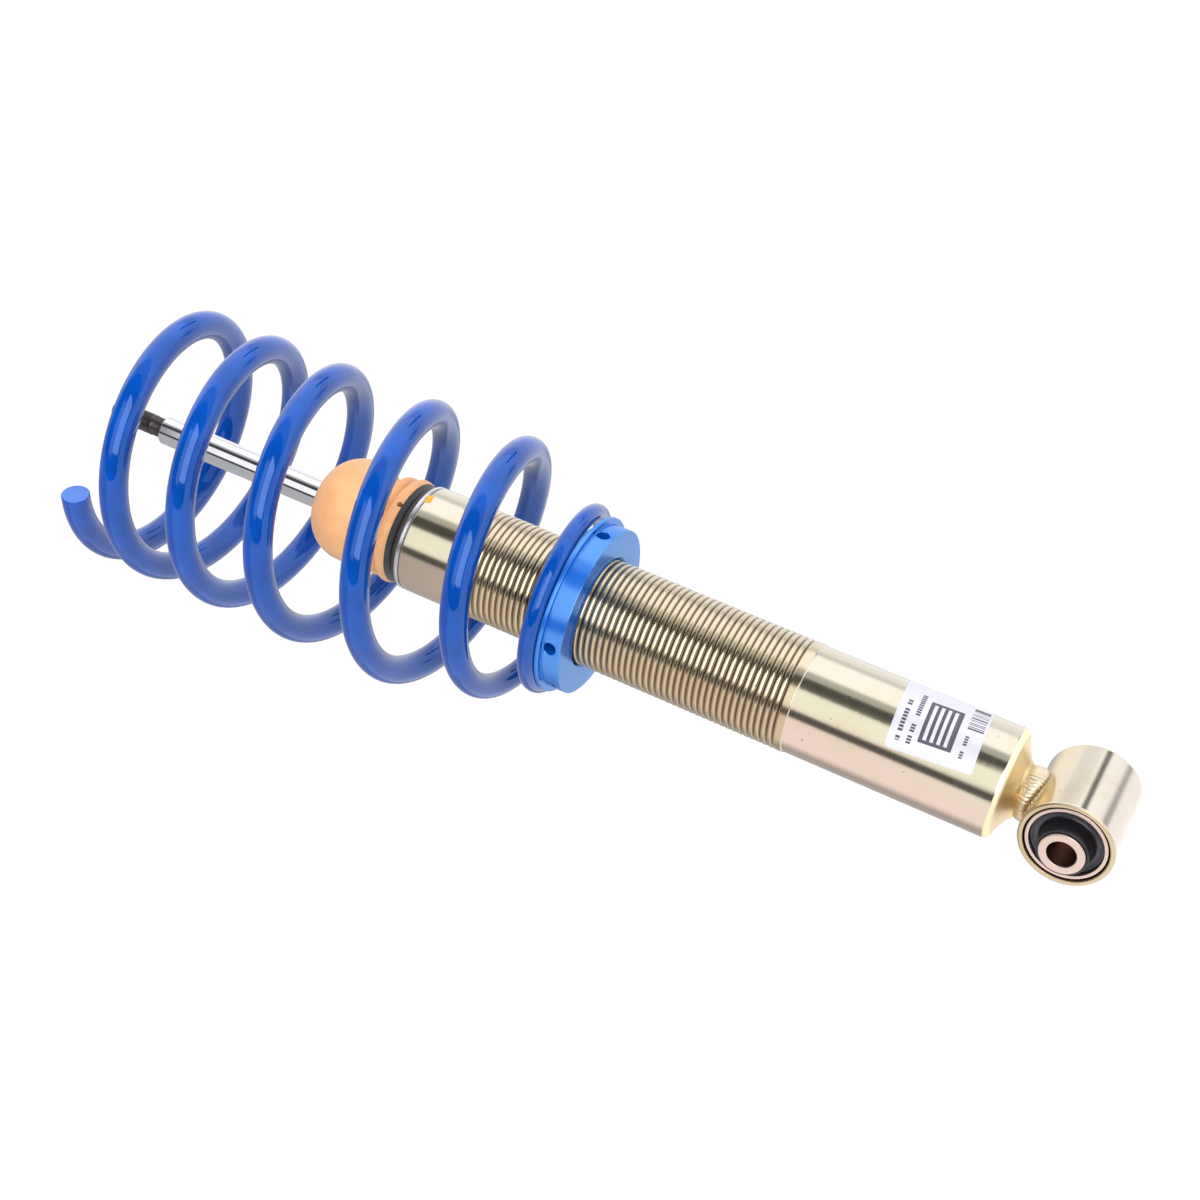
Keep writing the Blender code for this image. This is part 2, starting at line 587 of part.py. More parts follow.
def make_spring():
    """Right-handed coil: a small tapered end coil on the collar, opening to the full diameter."""
    steps = round(SPRING_TURNS * 360 / COIL_STEP_DEG)
    full_r = (SPRING_OUTER_D - WIRE_D) / 2
    curve = bpy.data.curves.new("coil_spring", "CURVE")
    curve.dimensions = "3D"
    curve.bevel_depth = WIRE_D / 2
    curve.bevel_resolution = 2
    curve.use_fill_caps = True
    wire = curve.splines.new("POLY")
    wire.points.add(steps)
    rise = 0.0
    for i in range(steps + 1):
        turn = i * SPRING_TURNS / steps
        if i:
            rise += pitch_at(turn - SPRING_TURNS / steps / 2) * SPRING_TURNS / steps
        radius = END_COIL_R + (full_r - END_COIL_R) * smooth_step(turn, *REDUCING_TURNS)
        angle = math.radians(SPRING_END_DEG) + 2 * math.pi * turn
        offset = SPRING_OFFSET * smooth_step(turn, *OFFSET_TURNS)
        x = radius * math.cos(angle) + offset * math.cos(math.radians(SPRING_OFFSET_DEG))
        y = radius * math.sin(angle) + offset * math.sin(math.radians(SPRING_OFFSET_DEG))
        wire.points[i].co = (x, y, END_COIL_Z + rise, 1.0)
        share = smooth_step(turn, *WIRE_TAPER_TURNS)
        wire.points[i].radius = (END_WIRE_D + (WIRE_D - END_WIRE_D) * share) / WIRE_D
    curve.materials.append(materials["spring_blue"])
    parts.objects.link(bpy.data.objects.new("coil_spring", curve))


start_scene()
parts = make_collection("strut_assembly")
cutters = make_collection("cutters")
materials = {name: make_material(name) for name in COLOURS}
make_eye()
make_neck()
make_body_tube()
make_label()
make_damper_inside()
make_rod()
make_bump_stop()
make_collar()
make_spring()
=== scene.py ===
# %% [markdown]
# # A coilover strut
#
# The object is the rear strut of a car: a gas damper whose body is a zinc-plated tube with a long thread, a
# collar that climbs that thread, a coil spring that stands on the collar, and a rubber-bushed eye at the
# foot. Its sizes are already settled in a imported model, the frame. This lesson dresses that frame: each
# part that shows gets a fine mesh in the place where the frame has a coarse one, and each finish is built
# from nodes.

# %% Load the frame
import json
import math

import bmesh
import bpy
import numpy as np
from mathutils import Matrix, Quaternion, Vector


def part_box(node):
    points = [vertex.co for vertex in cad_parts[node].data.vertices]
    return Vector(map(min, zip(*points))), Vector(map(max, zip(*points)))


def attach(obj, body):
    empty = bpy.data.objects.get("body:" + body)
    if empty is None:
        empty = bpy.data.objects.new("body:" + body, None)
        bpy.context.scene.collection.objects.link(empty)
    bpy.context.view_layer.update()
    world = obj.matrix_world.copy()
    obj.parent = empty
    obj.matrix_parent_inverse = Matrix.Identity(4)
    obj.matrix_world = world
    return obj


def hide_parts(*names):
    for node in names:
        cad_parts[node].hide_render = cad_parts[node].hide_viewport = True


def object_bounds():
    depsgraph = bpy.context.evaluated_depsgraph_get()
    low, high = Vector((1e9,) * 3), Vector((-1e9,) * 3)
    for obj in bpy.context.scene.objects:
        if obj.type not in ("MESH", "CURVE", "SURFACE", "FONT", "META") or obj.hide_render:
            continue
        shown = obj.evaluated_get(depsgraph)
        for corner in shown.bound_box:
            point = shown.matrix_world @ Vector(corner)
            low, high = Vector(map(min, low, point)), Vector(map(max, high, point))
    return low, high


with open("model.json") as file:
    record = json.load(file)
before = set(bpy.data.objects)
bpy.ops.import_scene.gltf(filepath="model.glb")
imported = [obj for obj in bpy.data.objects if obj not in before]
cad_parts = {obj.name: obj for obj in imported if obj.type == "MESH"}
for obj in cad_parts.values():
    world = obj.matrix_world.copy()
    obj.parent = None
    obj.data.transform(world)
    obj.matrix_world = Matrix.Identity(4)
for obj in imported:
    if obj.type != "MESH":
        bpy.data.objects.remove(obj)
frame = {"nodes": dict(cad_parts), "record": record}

MM = 0.001
cad_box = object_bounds()
print("frame box, mm:", [round(x / MM, 1) for corner in cad_box for x in corner])

# %% [markdown]
# ## Measuring the frame
#
# Almost every part of a strut is turned on a lathe, so a part is known by its outline: pairs of radius and
# height. Reading those pairs back from the coarse mesh means that no size has to be written down twice.


# %% Outline of a turned part
def outline_of(node, along="Z"):
    """(radius, height) of each circle of points in a turned part, in metres, lowest first."""
    points = np.array([v.co for v in frame["nodes"][node].data.vertices], float)
    up = "XYZ".index(along)
    across = [i for i in range(3) if i != up]
    radii = np.hypot(points[:, across[0]], points[:, across[1]])
    pairs = {(round(float(r), 5), round(float(z), 5)) for r, z in zip(radii, points[:, up])}
    return sorted(pairs, key=lambda pair: (pair[1], pair[0]))


def radii_of(outline):
    """Smallest and largest radius of an outline."""
    return min(r for r, z in outline), max(r for r, z in outline)


tube_outline = outline_of("outer_tube")
CREST_R = max(r for r, z in tube_outline)
THREAD_FOOT = min(z for r, z in tube_outline if r > CREST_R - 0.01 * MM)
BODY_R = max(r for r, z in tube_outline if z < THREAD_FOOT - 0.1 * MM)
SHOULDER_LOW = max(z for r, z in tube_outline if z < THREAD_FOOT and r > BODY_R - 0.01 * MM)
TUBE_TOP = max(z for r, z in tube_outline)
BORE_R = min(r for r, z in tube_outline if z > TUBE_TOP - 0.01 * MM)
TUBE_FOOT = min(z for r, z in tube_outline)
THREAD_PITCH = frame["record"]["behaviour"]["couplings"][0]["ratio"] * 2 * math.pi
print("tube, mm:", [round(x / MM, 2) for x in (BODY_R, CREST_R, BORE_R, TUBE_FOOT, SHOULDER_LOW, TUBE_TOP)])
print("thread pitch, mm:", round(THREAD_PITCH / MM, 3))

# %% [markdown]
# ## Nodes written as sums
#
# Shader nodes and geometry nodes share one Math node. A small class that wraps a socket lets Python's own
# operators add those nodes, so `1 - mask` reads like the sum that it is.


# %% A socket that can be added and multiplied
class Value:
    """An output socket of a node tree. Arithmetic on it adds Math nodes to its tree."""

    def __init__(self, tree, socket):
        self.tree = tree
        self.socket = socket

    def __add__(self, other):
        return self.tree.math("ADD", self, other)

    def __radd__(self, other):
        return self.tree.math("ADD", other, self)

    def __sub__(self, other):
        return self.tree.math("SUBTRACT", self, other)

    def __rsub__(self, other):
        return self.tree.math("SUBTRACT", other, self)

    def __mul__(self, other):
        return self.tree.math("MULTIPLY", self, other)

    def __rmul__(self, other):
        return self.tree.math("MULTIPLY", other, self)

    def __truediv__(self, other):
        return self.tree.math("DIVIDE", self, other)

    def __rtruediv__(self, other):
        return self.tree.math("DIVIDE", other, self)

    def __neg__(self):
        return self.tree.math("MULTIPLY", self, -1.0)

    def __abs__(self):
        return self.tree.math("ABSOLUTE", self)


# %% A tree that nodes are added to
class Tree:
    """Adds nodes to one shader tree or geometry tree."""

    def __init__(self, made):
        self.nodes = made.nodes
        self.links = made.links

    def add(self, kind, settings=None, sockets=None):
        """A node of that type, its settings set first, then the values or links of its sockets."""
        node = self.nodes.new(kind)
        for name, setting in (settings or {}).items():
            if name == "stops":
                self.set_stops(node.color_ramp, setting)
            else:
                setattr(node, name, setting)
        for name, value in (sockets or {}).items():
            self.feed(node.inputs[name], value)
        return node

    def set_stops(self, ramp, stops):
        while len(ramp.elements) < len(stops):
            ramp.elements.new(1.0)
        for element, (place, colour) in zip(ramp.elements, stops):
            element.position = place
            element.color = (*colour, 1.0)

    def feed(self, socket, value):
        if isinstance(value, Value):
            self.links.new(value.socket, socket)
        elif socket.type == "RGBA":
            socket.default_value = (*value[:3], 1.0)
        else:
            socket.default_value = value

    def value(self, kind, settings=None, sockets=None, output=0):
        return Value(self, self.add(kind, settings, sockets).outputs[output])

    def math(self, operation, *numbers):
        return self.value("ShaderNodeMath", {"operation": operation}, dict(enumerate(numbers)))

    def ease(self, value, low, high):
        """0 below low, 1 above high, and a smooth step between them."""
        sockets = {"Value": value, "From Min": low, "From Max": high}
        return self.value("ShaderNodeMapRange", {"interpolation_type": "SMOOTHSTEP"}, sockets)

    def window(self, value, low, high, soft):
        """1 between low and high, with edges soft wide that lie half outside."""
        rise = self.ease(value, low - soft / 2, low + soft / 2)
        return rise - self.ease(value, high - soft / 2, high + soft / 2)

    def mix(self, share, first, second, blend="MIX"):
        """Two colours mixed. Sockets 6 and 7 of a colour Mix node are A and B, and output 2 is the result."""
        settings = {"data_type": "RGBA", "blend_type": blend}
        return self.value("ShaderNodeMix", settings, {0: share, 6: first, 7: second}, 2)


# %% [markdown]
# ## The studio
#
# A strut is all cylinders, and a polished cylinder shows the room as stripes. Because the strut's axis is
# the upright of the frame, each stripe of light stands at one compass direction round it. So the studio is
# a sky painted from compass angle and height: white all round, a dark side where the camera stands, two
# softboxes in it, and a few narrow flags. Lamps would do the same, but they would stand in the way of the
# other views. The camera looks along the strut from below and is rolled, so the strut lies across the
# picture.

# %% Camera
CAMERA_PLACE = Vector((0.52708, -0.66672, -0.03033))
CAMERA_AIM = Vector((0.00410, 0.00320, 0.23023))
CAMERA_ROLL_DEG = -67.275
CAMERA_LENS = 58.87

lens = bpy.data.cameras.new("studio_camera")
lens.lens = CAMERA_LENS
lens.sensor_width = 36.0
lens.clip_start = 0.01
camera = bpy.data.objects.new("studio_camera", lens)
bpy.context.scene.collection.objects.link(camera)
camera.location = CAMERA_PLACE
camera.rotation_mode = "QUATERNION"
look = (CAMERA_AIM - CAMERA_PLACE).to_track_quat("-Z", "Y")
camera.rotation_quaternion = look @ Quaternion((0, 0, 1), math.radians(CAMERA_ROLL_DEG))
bpy.context.scene.camera = camera
bpy.context.scene.view_settings.view_transform = "Standard"
print("camera stands", round((CAMERA_AIM - CAMERA_PLACE).length, 3), "m from the strut's middle")

# %% Sky
SKY_LEVEL = 1.35
BACKDROP_LEVEL = 1.02        # what the camera sees behind the strut
# compass (low, high), height (low, high), edge softness of each, level: painted one over the other
SKY_CARDS = (
    ((112, 190), (-4, 90), 30, 8, 0.56),         # the room falls away behind the low side
    ((-190, -98), (17, 90), 5, 14, 0.62),        # and further above it
    ((3, 51), (-90, 90), 4, 8, 1.75),            # the window on the high side
    ((51, 66), (6, 34), 6, 6, 1.05),             # narrow flag next to the window
    ((-98, -11), (-54, 80), 3, 5, 0.09),         # the dark side, where the camera stands
    ((-11, 3), (-54, 80), 5, 5, 0.70),           # its half-lit upper edge
    ((-81, -37), (4, 30), 5, 3, 1.45),           # the upper front softbox, which the tube shows
    ((-76, -30), (-44, 2), 2, 2, 3.60),          # the lower one, which the spring shows
    ((-80, 10), (-90, -52), 8, 5, 1.15),         # a card on the ground in front
    ((42, 62), (-7.0, 1.0), 3, 1.8, 0.07),       # thin flag that draws a line along the eye
    ((62, 78), (-39, -30), 6, 5, 0.45),          # and a fainter one, lower down
)


def paint_sky():
    world = bpy.data.worlds.new("studio")
    bpy.context.scene.world = world
    world.use_nodes = True
    world.node_tree.nodes.clear()
    tree = Tree(world.node_tree)
    ray = tree.value("ShaderNodeTexCoord", output="Generated")
    parts = tree.add("ShaderNodeSeparateXYZ", sockets={0: ray})
    x, y, z = (Value(tree, parts.outputs[i]) for i in range(3))
    compass = tree.math("ARCTAN2", y, x) * (180 / math.pi)
    height = tree.math("ARCSINE", z) * (180 / math.pi)
    level = SKY_LEVEL
    for (west, east), (low, high), soft_side, soft_end, card in SKY_CARDS:
        middle = (west + east) / 2
        turned = tree.math("WRAP", compass - middle, 180.0, -180.0)
        half = (east - west) / 2
        mask = tree.window(turned, -half, half, soft_side) * tree.window(height, low, high, soft_end)
        level = level + mask * (card - level)
    seen = tree.value("ShaderNodeLightPath", output="Is Camera Ray")
    strength = level * (1 - seen) + seen * BACKDROP_LEVEL
    shown = tree.add("ShaderNodeBackground", sockets={"Color": (1.0, 1.0, 1.0), "Strength": strength})
    out = tree.add("ShaderNodeOutputWorld")
    tree.links.new(shown.outputs[0], out.inputs[0])


paint_sky()

# %% [markdown]
# Matt surfaces need more light from the camera's side than a mirror may show. Two wide suns give it. Glossy
# rays don't see them, so they add no stripe to the metal.

# %% Fill light for matt surfaces
FILL_SUNS = (("fill_key", -22.0, 5.0, 2.3, 70.0), ("fill_low", -95.0, 10.0, 0.7, 80.0))


def place_fills():
    for name, compass, height, strength, angle in FILL_SUNS:
        lamp = bpy.data.lights.new(name, "SUN")
        lamp.energy = strength
        lamp.angle = math.radians(angle)
        sun = bpy.data.objects.new(name, lamp)
        bpy.context.scene.collection.objects.link(sun)
        a, e = math.radians(compass), math.radians(height)
        towards = Vector((math.cos(a) * math.cos(e), math.sin(a) * math.cos(e), math.sin(e)))
        sun.rotation_euler = towards.to_track_quat("Z", "Y").to_euler()
        sun.visible_glossy = False


place_fills()

# %% [markdown]
# The floor is a plain white disc, well below the strut. Matt parts get its light from below. Glossy rays
# don't see it either, because its edge would draw a line round the eye.

# %% Floor
FLOOR_DROP = 0.18
FLOOR_R = 0.70


def make_floor():
    shape = bmesh.new()
    bmesh.ops.create_circle(shape, cap_ends=True, segments=128, radius=FLOOR_R)
    mesh = bpy.data.meshes.new("floor")
    shape.to_mesh(mesh)
    shape.free()
    floor = bpy.data.objects.new("floor", mesh)
    floor.location.z = cad_box[0].z - FLOOR_DROP
    bpy.context.scene.collection.objects.link(floor)
    paint = bpy.data.materials.new("floor_paint")
    paint.use_nodes = True
    shader = paint.node_tree.nodes["Principled BSDF"]
    shader.inputs["Base Color"].default_value = (0.82, 0.82, 0.83, 1.0)
    shader.inputs["Roughness"].default_value = 0.7
    mesh.materials.append(paint)
    floor.visible_glossy = False


make_floor()


# %% [markdown]
# ## Finishes
#
# A finish is a function that returns a material. All of them read Object coordinates, because every
# finished piece has its object at the origin and so those are places on the strut itself.


# %% Start of a material, and its coordinates
def start_finish(name):
    material = bpy.data.materials.new(name)
    material.use_nodes = True
    return material, Tree(material.node_tree), material.node_tree.nodes["Principled BSDF"]


def place_on(tree):
    return tree.value("ShaderNodeTexCoord", output="Object")


def stretch(tree, place, factors):
    return tree.value("ShaderNodeVectorMath", {"operation": "MULTIPLY"}, {0: place, 1: factors})


def noise(tree, place, scale, detail=2.0, rough=0.5):
    sockets = {"Vector": place, "Scale": scale, "Detail": detail, "Roughness": rough}
    return tree.value("ShaderNodeTexNoise", sockets=sockets)


def round_the_axis(tree, place):
    """Compass angle in degrees and height in metres of a place."""
    parts = tree.add("ShaderNodeSeparateXYZ", sockets={0: place})
    x, y, z = (Value(tree, parts.outputs[i]) for i in range(3))
    return tree.math("ARCTAN2", y, x) * (180 / math.pi), z


def bump(tree, shader, height, strength, distance):
    sockets = {"Height": height, "Strength": strength, "Distance": distance}
    tree.feed(shader.inputs["Normal"], tree.value("ShaderNodeBump", sockets=sockets))


# %% [markdown]
# ### Yellow zinc
#
# Zinc plate that was passivated yellow has a film so thin that its colour drifts between straw, green and
# pink. The drift is a slow noise plus the compass angle, and the lathe's marks are a noise that is far
# finer along the axis than round it. The grooves of the thread are painted brown by their distance from the
# crests, as painted shade. Bent and welded places come out rough and golden: they are the same finish with
# other numbers, and the pale gold of the rim at the foot is a painted highlight.

# %% Zinc finish
STRAW = (0.58, 0.50, 0.345)
GREEN_STRAW = (0.595, 0.565, 0.42)
PINK_STRAW = (0.64, 0.50, 0.42)
PALE_STRAW = (0.575, 0.535, 0.455)
BROWN_STRAW = (0.52, 0.39, 0.25)
# painted shade for the inside of the inner sleeve's bore
BORE_SHADE_BROWN = (0.42, 0.28, 0.24)
# painted shade in the thread's grooves
GROOVE_SHADE_BROWN = (0.11, 0.065, 0.03)
DRIFT_PER_METRE = 2500.0


def make_zinc(name, tints, roughness, mark_scale, along=2, drift=1.0, crest_r=None):
    """Plated steel whose tint drifts through three colours. Lathe marks lie round the axis numbered along."""
    material, tree, shader = start_finish(name)
    place = place_on(tree)
    angle, height = round_the_axis(tree, place)
    slow = noise(tree, stretch(tree, place, (18, 18, 9)), 1.0, 2.0)
    turned = tree.math("WRAP", angle + (slow - 0.5) * 50 * drift + 50, 180.0, -180.0)
    cloud = noise(tree, place, 70, 3.0)
    # a part across the strut changes tint with height; on the eye the darker gold at the top, by the neck, is
    # painted shade
    if along == 1:                             # a part across the strut drifts with height instead
        turned = height * DRIFT_PER_METRE + (slow - 0.5) * 20
    tint = tree.mix(tree.ease(turned, 5, 45), tints[0], tints[1])
    tint = tree.mix(tree.ease(-turned, 5, 40), tint, tints[2])
    tint = tree.mix(tree.ease(cloud, 0.45, 0.75) * 0.45 * drift, tint, STRAW)
    # painted shade: the thread's grooves go brown below its crests
    if crest_r:                                # brown below the thread's crests
        flat = stretch(tree, place, (1, 1, 0))
        radius = tree.value("ShaderNodeVectorMath", {"operation": "LENGTH"}, {0: flat}, "Value")
        tint = tree.mix(tree.ease(crest_r - radius, 0.08 * MM, 0.45 * MM) * 0.85, tint, GROOVE_SHADE_BROWN)
    specks = tree.ease(noise(tree, place, 420, 1.0), 0.755, 0.80)
    tree.feed(shader.inputs["Base Color"], tree.mix(specks * 0.5, tint, (0.20, 0.16, 0.11)))
    factors = [4.0, 4.0, 4.0]
    factors[along] = 900.0
    marks = noise(tree, stretch(tree, place, tuple(factors)), mark_scale, 2.0, 0.6)
    tree.feed(shader.inputs["Roughness"], roughness * (0.7 + marks * 0.6) + specks * 0.2)
    shader.inputs["Metallic"].default_value = 1.0
    bump(tree, shader, marks, 0.08, 0.00002)
    return material


THREAD_STRAWS = (STRAW, (0.57, 0.49, 0.37), BROWN_STRAW)
CONE_GOLDS = ((0.84, 0.71, 0.45), (0.80, 0.66, 0.40), (0.72, 0.55, 0.32))
# pale gold for the rim at the foot, a painted highlight
BEVEL_GOLDS_AND_HIGHLIGHT = ((0.95, 0.88, 0.64), (0.92, 0.84, 0.60), (0.90, 0.78, 0.52))
# straw for the eye, with a darker gold for its top by the neck that is painted shade
EYE_STRAWS_AND_SHADE = ((0.68, 0.63, 0.545), (0.64, 0.52, 0.36), (0.66, 0.595, 0.53))
# darker straw for the eye's end faces and bore edge; along the bore it is painted shade in the gap to the
# sleeve
RIM_STRAWS_AND_GAP_SHADE = ((0.60, 0.47, 0.31), (0.56, 0.42, 0.26), (0.62, 0.50, 0.34))
SLEEVE_PINKS = ((0.66, 0.50, 0.45), (0.62, 0.48, 0.43), (0.64, 0.49, 0.43))
WELD_GOLDS = ((0.74, 0.64, 0.48), (0.74, 0.64, 0.48), (0.66, 0.52, 0.34))

zinc_body = make_zinc("zinc_body", (GREEN_STRAW, PALE_STRAW, PINK_STRAW), 0.16, 2.0)
zinc_thread = make_zinc("zinc_thread", THREAD_STRAWS, 0.19, 2.5, drift=0.6, crest_r=CREST_R)
zinc_cone = make_zinc("zinc_cone", CONE_GOLDS, 0.38, 2.0, drift=0.6)
zinc_bevel_and_highlight = make_zinc("zinc_bevel_and_highlight", BEVEL_GOLDS_AND_HIGHLIGHT, 0.50, 2.0, drift=0.6)
zinc_eye_and_shade = make_zinc("zinc_eye_and_shade", EYE_STRAWS_AND_SHADE, 0.18, 1.6, along=1)
zinc_rim_and_gap_shade = make_zinc("zinc_rim_and_gap_shade", RIM_STRAWS_AND_GAP_SHADE, 0.30, 1.6, along=1)
zinc_pink = make_zinc("zinc_pink", SLEEVE_PINKS, 0.26, 2.0, along=1)
zinc_bore_shade = make_zinc("zinc_bore_shade", (BORE_SHADE_BROWN, BORE_SHADE_BROWN, BORE_SHADE_BROWN), 0.35, 2.0, along=1)
zinc_weld = make_zinc("zinc_weld", WELD_GOLDS, 0.42, 1.0)


# %% [markdown]
# ### Paint, dye and chrome
#
# The spring's powder coat is thick and glossy, with the faint waviness called orange peel. The collar is
# aluminium whose oxide skin was dyed blue: colour from below, a bright skin above, and fine lathe marks.
# The rod is hard chrome, ground so fine that only a trace of the marks is left.

# %% Powder coat
def make_powder_coat(name, colour, sawn=False):
    material, tree, shader = start_finish(name)
    place = place_on(tree)
    cloud = noise(tree, place, 60, 2.0)
    deep = tuple(0.80 * c for c in colour)
    tree.feed(shader.inputs["Base Color"], tree.mix(tree.ease(cloud, 0.35, 0.65), colour, deep))
    peel = noise(tree, place, 520, 1.0)
    shader.inputs["IOR"].default_value = 1.68
    shader.inputs["Specular Tint"].default_value = (0.46, 0.64, 0.92, 1.0)
    if sawn:
        teeth = noise(tree, stretch(tree, place, (60, 900, 60)), 1.0, 3.0)
        tree.feed(shader.inputs["Roughness"], 0.25 + teeth * 0.2)
        bump(tree, shader, teeth, 0.9, 0.0004)
    else:
        tree.feed(shader.inputs["Roughness"], 0.03 + cloud * 0.04)
        bump(tree, shader, peel, 0.03, 0.0002)
    return material


SPRING_BLUE = (0.0, 0.052, 0.32)
spring_paint = make_powder_coat("spring_paint", SPRING_BLUE)
spring_sawn = make_powder_coat("spring_sawn", (0.05, 0.13, 0.45), sawn=True)


# %% Dyed aluminium
def make_anodised(name):
    material, tree, shader = start_finish(name)
    place = place_on(tree)
    marks = noise(tree, stretch(tree, place, (6, 6, 1500)), 1.0, 2.0, 0.6)
    cloud = noise(tree, place, 45, 2.0)
    tint = tree.mix(cloud, (0.0, 0.092, 0.47), (0.0, 0.078, 0.43))
    tree.feed(shader.inputs["Base Color"], tint)
    tree.feed(shader.inputs["Roughness"], 0.16 + marks * 0.10)
    shader.inputs["Metallic"].default_value = 0.0
    shader.inputs["IOR"].default_value = 3.3
    shader.inputs["Specular Tint"].default_value = (0.30, 0.60, 0.90, 1.0)
    bump(tree, shader, marks, 0.10, 0.00002)
    return material


anodised = make_anodised("anodised_blue")


# %% Plain metals: chrome, closure steel, black oxide, bronze, machined steel
def make_metal(name, colour, roughness, mark_depth, along=2):
    material, tree, shader = start_finish(name)
    place = place_on(tree)
    factors = [5.0, 5.0, 5.0]
    factors[along] = 1100.0
    marks = noise(tree, stretch(tree, place, tuple(factors)), 1.0, 2.0, 0.6)
    cloud = noise(tree, place, 50, 2.0)
    dull = tuple(0.88 * c for c in colour)
    tree.feed(shader.inputs["Base Color"], tree.mix(cloud, colour, dull))
    tree.feed(shader.inputs["Roughness"], roughness * (0.75 + marks * 0.5))
    shader.inputs["Metallic"].default_value = 1.0
    bump(tree, shader, marks, mark_depth, 0.00002)
    return material


chrome = make_metal("hard_chrome", (0.68, 0.69, 0.73), 0.05, 0.03)
closure_steel = make_metal("closure_steel", (0.60, 0.60, 0.65), 0.26, 0.10)
black_oxide = make_metal("black_oxide", (0.075, 0.065, 0.072), 0.35, 0.30)
bronze = make_metal("sintered_bronze", (0.50, 0.34, 0.17), 0.40, 0.10)
machined = make_metal("machined_steel", (0.46, 0.46, 0.47), 0.30, 0.20)


# %% [markdown]
# ### Moulded finishes
#
# Rubber, foam, plastic and dried paint have no lathe marks. What tells them apart is how dark they are, how
# cloudy, and how coarse their grain is, so one function makes them all.

# %% Rubber, foam, plastic and paint
def make_moulded(name, colour, second, roughness, grain_scale, grain_depth, sheen=0.0):
    """A moulded polymer with cloudy colour and a fine grain."""
    material, tree, shader = start_finish(name)
    place = place_on(tree)
    cloud = noise(tree, place, 90, 4.0, 0.6)
    grain = noise(tree, place, grain_scale, 2.0, 0.6)
    tree.feed(shader.inputs["Base Color"], tree.mix(tree.ease(cloud, 0.30, 0.70), colour, second))
    tree.feed(shader.inputs["Roughness"], roughness + (grain - 0.5) * 0.16)
    bump(tree, shader, grain, grain_depth, 0.0003)
    shader.inputs["Sheen Weight"].default_value = sheen
    return material


rubber = make_moulded("bush_rubber", (0.030, 0.027, 0.034), (0.042, 0.038, 0.048), 0.42, 900, 0.15, 0.2)
# a darker copy of the bush rubber: painted shade on the wall round the inner sleeve, glossier like a moulded
# skin
rubber_skin_and_shade = make_moulded("rubber_skin_and_shade", (0.006, 0.005, 0.007), (0.010, 0.009, 0.012), 0.30, 900, 0.25)
foam = make_moulded("stop_polyurethane", (0.77, 0.395, 0.175), (0.70, 0.335, 0.140), 0.48, 700, 0.12, 0.1)
plastic = make_moulded("black_plastic", (0.020, 0.018, 0.020), (0.030, 0.027, 0.029), 0.45, 600, 0.08)
yellow_paint = make_moulded("marking_paint", (0.80, 0.50, 0.02), (0.62, 0.32, 0.02), 0.40, 500, 0.25)


# %% [markdown]
# ## Turned parts
#
# A lathe makes a part from one outline. Each corner is given with the size of its own fillet, because no
# machined edge is truly sharp and a fillet is what catches the light. The outline is then swept into a
# mesh, and its normals are weighted by face area so that flat faces stay flat up to the fillet.


# %% Rounding the corners of an outline
def rounded(corners, steps=4):
    """Turns closed (radius, height, fillet) corners into an outline whose corners are rounded."""
    outline = []
    count = len(corners)
    for i, (r, z, fillet) in enumerate(corners):
        here = Vector((r, z))
        before = Vector(corners[i - 1][:2]) - here
        after = Vector(corners[(i + 1) % count][:2]) - here
        reach = min(fillet, 0.45 * before.length, 0.45 * after.length)
        if reach < 1e-6:
            outline.append((r, z))
            continue
        start = here + before.normalized() * reach
        end = here + after.normalized() * reach
        for step in range(steps + 1):
            s = step / steps
            point = start * (1 - s) ** 2 + here * 2 * s * (1 - s) + end * s * s
            outline.append((point.x, point.y))
    return outline


# %% Turning an outline into a mesh
AXES = {
    "Z": Matrix.Identity(4),
    "Y": Matrix.Rotation(math.radians(-90), 4, "X"),
}


def turn_outline(shape, outline, segments):
    """Rings of points, one for each pair of the outline. A point on the axis is one vertex."""
    rings = []
    for r, z in outline:
        if r < 1e-7:
            rings.append([shape.verts.new((0, 0, z))])
            continue
        angles = [2 * math.pi * i / segments for i in range(segments)]
        rings.append([shape.verts.new((r * math.cos(a), r * math.sin(a), z)) for a in angles])
    return rings


def skin_rings(shape, rings, closed=True):
    pairs = list(zip(rings, rings[1:]))
    if closed and len(rings[0]) > 1:
        pairs.append((rings[-1], rings[0]))
    for lower, upper in pairs:
        count = max(len(lower), len(upper))
        for i in range(count):
            j = (i + 1) % count
            corners = [lower[i % len(lower)], lower[j % len(lower)]]
            corners += [upper[j % len(upper)], upper[i % len(upper)]]
            corners = list(dict.fromkeys(corners))
            if len(corners) > 2:
                shape.faces.new(corners)


def weigh_normals(mesh):
    """Smooth shading in which a large face keeps its own normal at its corners."""
    mesh.shade_smooth()
    normals = np.zeros((len(mesh.vertices), 3))
    for face in mesh.polygons:
        normals[list(face.vertices)] += np.array(face.normal) * face.area
    lengths = np.linalg.norm(normals, axis=1, keepdims=True)
    mesh.normals_split_custom_set_from_vertices((normals / np.maximum(lengths, 1e-12)).tolist())


def place_piece(name, shape, material, body, stands_for=(), sharp_deg=None):
    """Finishes a bmesh as a piece at the origin that rides on a body of the frame."""
    bmesh.ops.recalc_face_normals(shape, faces=shape.faces)
    mesh = bpy.data.meshes.new(name)
    shape.to_mesh(mesh)
    shape.free()
    if sharp_deg is None:
        weigh_normals(mesh)
    else:
        mesh.shade_smooth()
        mesh.set_sharp_from_angle(angle=math.radians(sharp_deg))
    mesh.materials.append(material)
    return place_mesh(name, mesh, body, stands_for)


